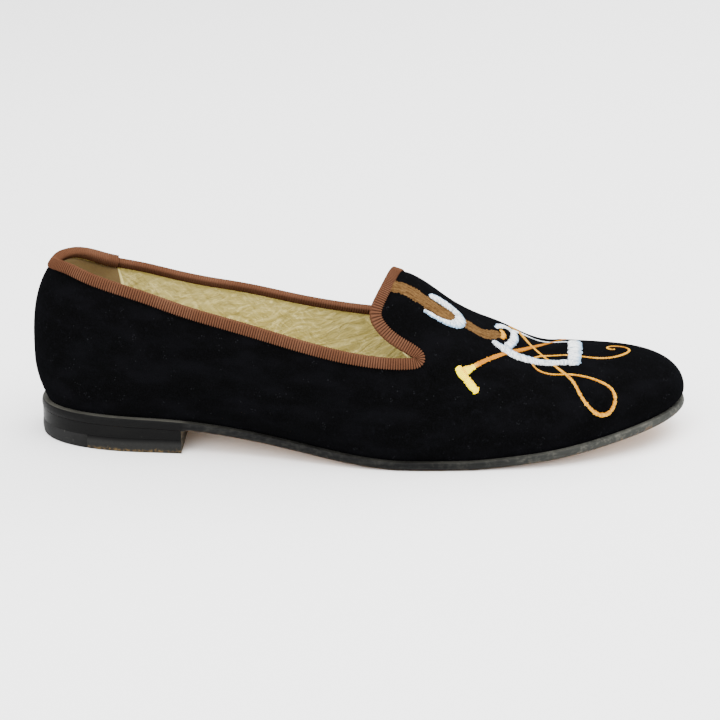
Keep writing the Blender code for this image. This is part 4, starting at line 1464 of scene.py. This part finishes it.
class SlipperColours(bpy.types.PropertyGroup):
    """Colours of the slipper's materials."""

    velvet: paint("Velvet", "Velvet where the nap lies flat", 4, 4, 4)
    nap: paint("Nap", "Velvet where the nap stands", 9, 9, 11)
    lint: paint("Lint", "Dust and lint caught in the nap", 42, 43, 46)
    ribbon: paint("Ribbon", "Crests of the ribbon's ribs", 78, 50, 35)
    # painted shade between the ribs and on the ribbon's inner side, and the weave's dark tone
    ribbon_shade_and_dark_weave: paint("Ribbon, dark", "Between the ribbon's ribs", 34, 20, 14)
    ribbon_pale: paint("Ribbon, rubbed", "Ribbon rubbed pale", 96, 66, 49)
    lining: paint("Lining", "Kid lining", 176, 163, 100)
    # The pale lining colour also paints the highlight on the wrinkles' crests, and the dark one the shade
    # beside them
    lining_pale_and_highlight: paint("Lining, pale", "Kid lining on the folds", 226, 214, 152)
    lining_dark_and_shade: paint("Lining, dark", "Kid lining in its creases", 119, 108, 66)
    grip: paint("Heel grip", "Rough side of the heel grip", 122, 104, 76)
    grip_dark: paint("Heel grip, rubbed", "Heel grip where the heel rubs it", 84, 66, 42)
    sole: paint("Sole edge", "Inked edge of the sole", 13, 13, 13)
    sole_worn: paint("Sole edge, worn", "Edge rubbed grey at the toe", 48, 49, 46)
    # The dust colour also paints a highlight along the sole's upper rim
    dust_and_ledge_highlight: paint("Dust", "Dust and fine scratches", 80, 79, 73)
    sole_raw: paint("Sole, raw", "Raw leather at the tread's edge", 74, 57, 41)
    tread: paint("Tread", "Leather under the foot", 176, 138, 96)
    tread_dark: paint("Tread, dark", "Stained leather under the foot", 104, 78, 54)
    tread_scuff: paint("Tread, scuffed", "Scuffs under the foot", 70, 58, 48)
    heel: paint("Heel", "Inked heel block", 7, 7, 7)
    heel_pale: paint("Heel, pale", "Smears on the heel block", 15, 15, 14)
    breast: paint("Heel breast", "Rubbed fibre on the heel breast", 88, 81, 67)
    lift: paint("Top lift", "Edge of the worn top lift", 36, 36, 35)
    lift_raw: paint("Top lift, raw", "Raw fibre along the floor", 86, 70, 44)
    rubber: paint("Rubber", "Rubber tip of the heel", 26, 26, 26)
    # The dark thread colours also paint the shade in the grooves between the threads
    brown: paint("Brown thread", "Strap thread", 113, 84, 50)
    brown_dark_and_gap_shade: paint("Brown thread, dark", "Strap thread in shade", 50, 33, 17)
    white: paint("White thread", "Stirrup thread", 250, 252, 250)
    white_dark_and_gap_shade: paint("White thread, dark", "Between the stirrup threads", 108, 128, 146)
    white_blue: paint("White thread, blue", "Pale blue shading thread", 120, 164, 200)
    ochre: paint("Ochre thread", "Whip and thong thread", 220, 164, 52)
    ochre_dark_and_gap_shade: paint("Ochre thread, dark", "Whip thread in shade", 156, 94, 24)
    yellow: paint("Yellow thread", "Handle thread", 255, 244, 10)
    yellow_dark_and_gap_shade: paint("Yellow thread, orange", "Handle thread in shade", 255, 200, 0)


class SlipperSizes(bpy.types.PropertyGroup):
    """Sizes of what lies on the slipper's surfaces."""

    crease_depth: factor("Creases", "Depth of the velvet's creases, as a share of their own", 1.0)
    wrinkle_depth: factor("Wrinkles", "Depth of the lining's wrinkles, as a share of their own", 1.0)
    rib_pitch: metres("Rib pitch", "From rib to rib along the ribbon", 0.00100)
    rib_height: metres("Rib height", "Height of a rib over the ribbon's middle", 0.00008)
    thread_pitch: metres("Thread pitch", "From thread to thread of the embroidery", 0.00060)
    thread_relief: metres("Thread relief", "Height of a thread over the band's middle", 0.00010)
    raggedness: metres("Ragged stitches", "How unevenly the stitches end", 0.00020)
    wear: metres("Edge wear", "How far the sole's edge is worn in", 0.00006)


class SlipperVelvet(bpy.types.Operator):
    """Make the velvet outside of the upper"""

    bl_idname = "slipper.velvet"
    bl_label = "Velvet Upper"

    def execute(self, context):
        make_velvet(context.scene.slipper_sizes, context.scene.slipper_colours)
        return {"FINISHED"}


class SlipperLining(bpy.types.Operator):
    """Make the lining and the heel grip"""

    bl_idname = "slipper.lining"
    bl_label = "Lining and Heel Grip"

    def execute(self, context):
        make_lining(context.scene.slipper_sizes, context.scene.slipper_colours)
        make_heel_grip(context.scene.slipper_colours)
        return {"FINISHED"}


class SlipperRibbon(bpy.types.Operator):
    """Make the ribbon folded over the collar's edge"""

    bl_idname = "slipper.ribbon"
    bl_label = "Ribbon Binding"

    def execute(self, context):
        make_ribbon(context.scene.slipper_sizes, context.scene.slipper_colours)
        return {"FINISHED"}


class SlipperSole(bpy.types.Operator):
    """Make the outsole, the heel and the sock"""

    bl_idname = "slipper.sole"
    bl_label = "Sole, Heel and Sock"

    def execute(self, context):
        make_outsole(context.scene.slipper_sizes, context.scene.slipper_colours)
        make_heel(context.scene.slipper_colours)
        make_sock(context.scene.slipper_colours)
        return {"FINISHED"}


class SlipperEmbroidery(bpy.types.Operator):
    """Stitch the strap, the stirrup and the whip on the vamp"""

    bl_idname = "slipper.embroidery"
    bl_label = "Embroidery"

    def execute(self, context):
        make_embroidery(context.scene.slipper_sizes, context.scene.slipper_colours)
        return {"FINISHED"}


class SlipperStage(bpy.types.Operator):
    """Set up the floor, the lights and the camera"""

    bl_idname = "slipper.stage"
    bl_label = "Stage"

    def execute(self, context):
        add_stage()
        add_camera()
        return {"FINISHED"}


OPERATORS = (SlipperVelvet, SlipperLining, SlipperRibbon, SlipperSole, SlipperEmbroidery, SlipperStage)


class SlipperPanel(bpy.types.Panel):
    """Sidebar panel with the slipper's settings and steps"""

    bl_idname = "VIEW3D_PT_slipper"
    bl_label = "Velvet Slipper"
    bl_space_type = "VIEW_3D"
    bl_region_type = "UI"
    bl_category = "Slipper"

    def draw(self, context):
        for group in (context.scene.slipper_sizes, context.scene.slipper_colours):
            for name in group.__annotations__:
                self.layout.prop(group, name)
        for operator in OPERATORS:
            self.layout.operator(operator.bl_idname)


CLASSES = (SlipperColours, SlipperSizes, *OPERATORS, SlipperPanel)


def register():
    """Register every class and hang the settings on the scene."""
    for made in CLASSES:
        bpy.utils.register_class(made)
    bpy.types.Scene.slipper_colours = bpy.props.PointerProperty(type=SlipperColours)
    bpy.types.Scene.slipper_sizes = bpy.props.PointerProperty(type=SlipperSizes)


def unregister():
    """Take off what register() added, in reverse."""
    del bpy.types.Scene.slipper_sizes
    del bpy.types.Scene.slipper_colours
    for made in reversed(CLASSES):
        bpy.utils.unregister_class(made)


def main():
    """Register the add-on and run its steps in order."""
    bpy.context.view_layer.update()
    register()
    bpy.ops.slipper.velvet()
    bpy.ops.slipper.lining()
    bpy.ops.slipper.ribbon()
    bpy.ops.slipper.sole()
    bpy.ops.slipper.embroidery()
    bpy.ops.slipper.stage()


if __name__ == "__main__":
    main()
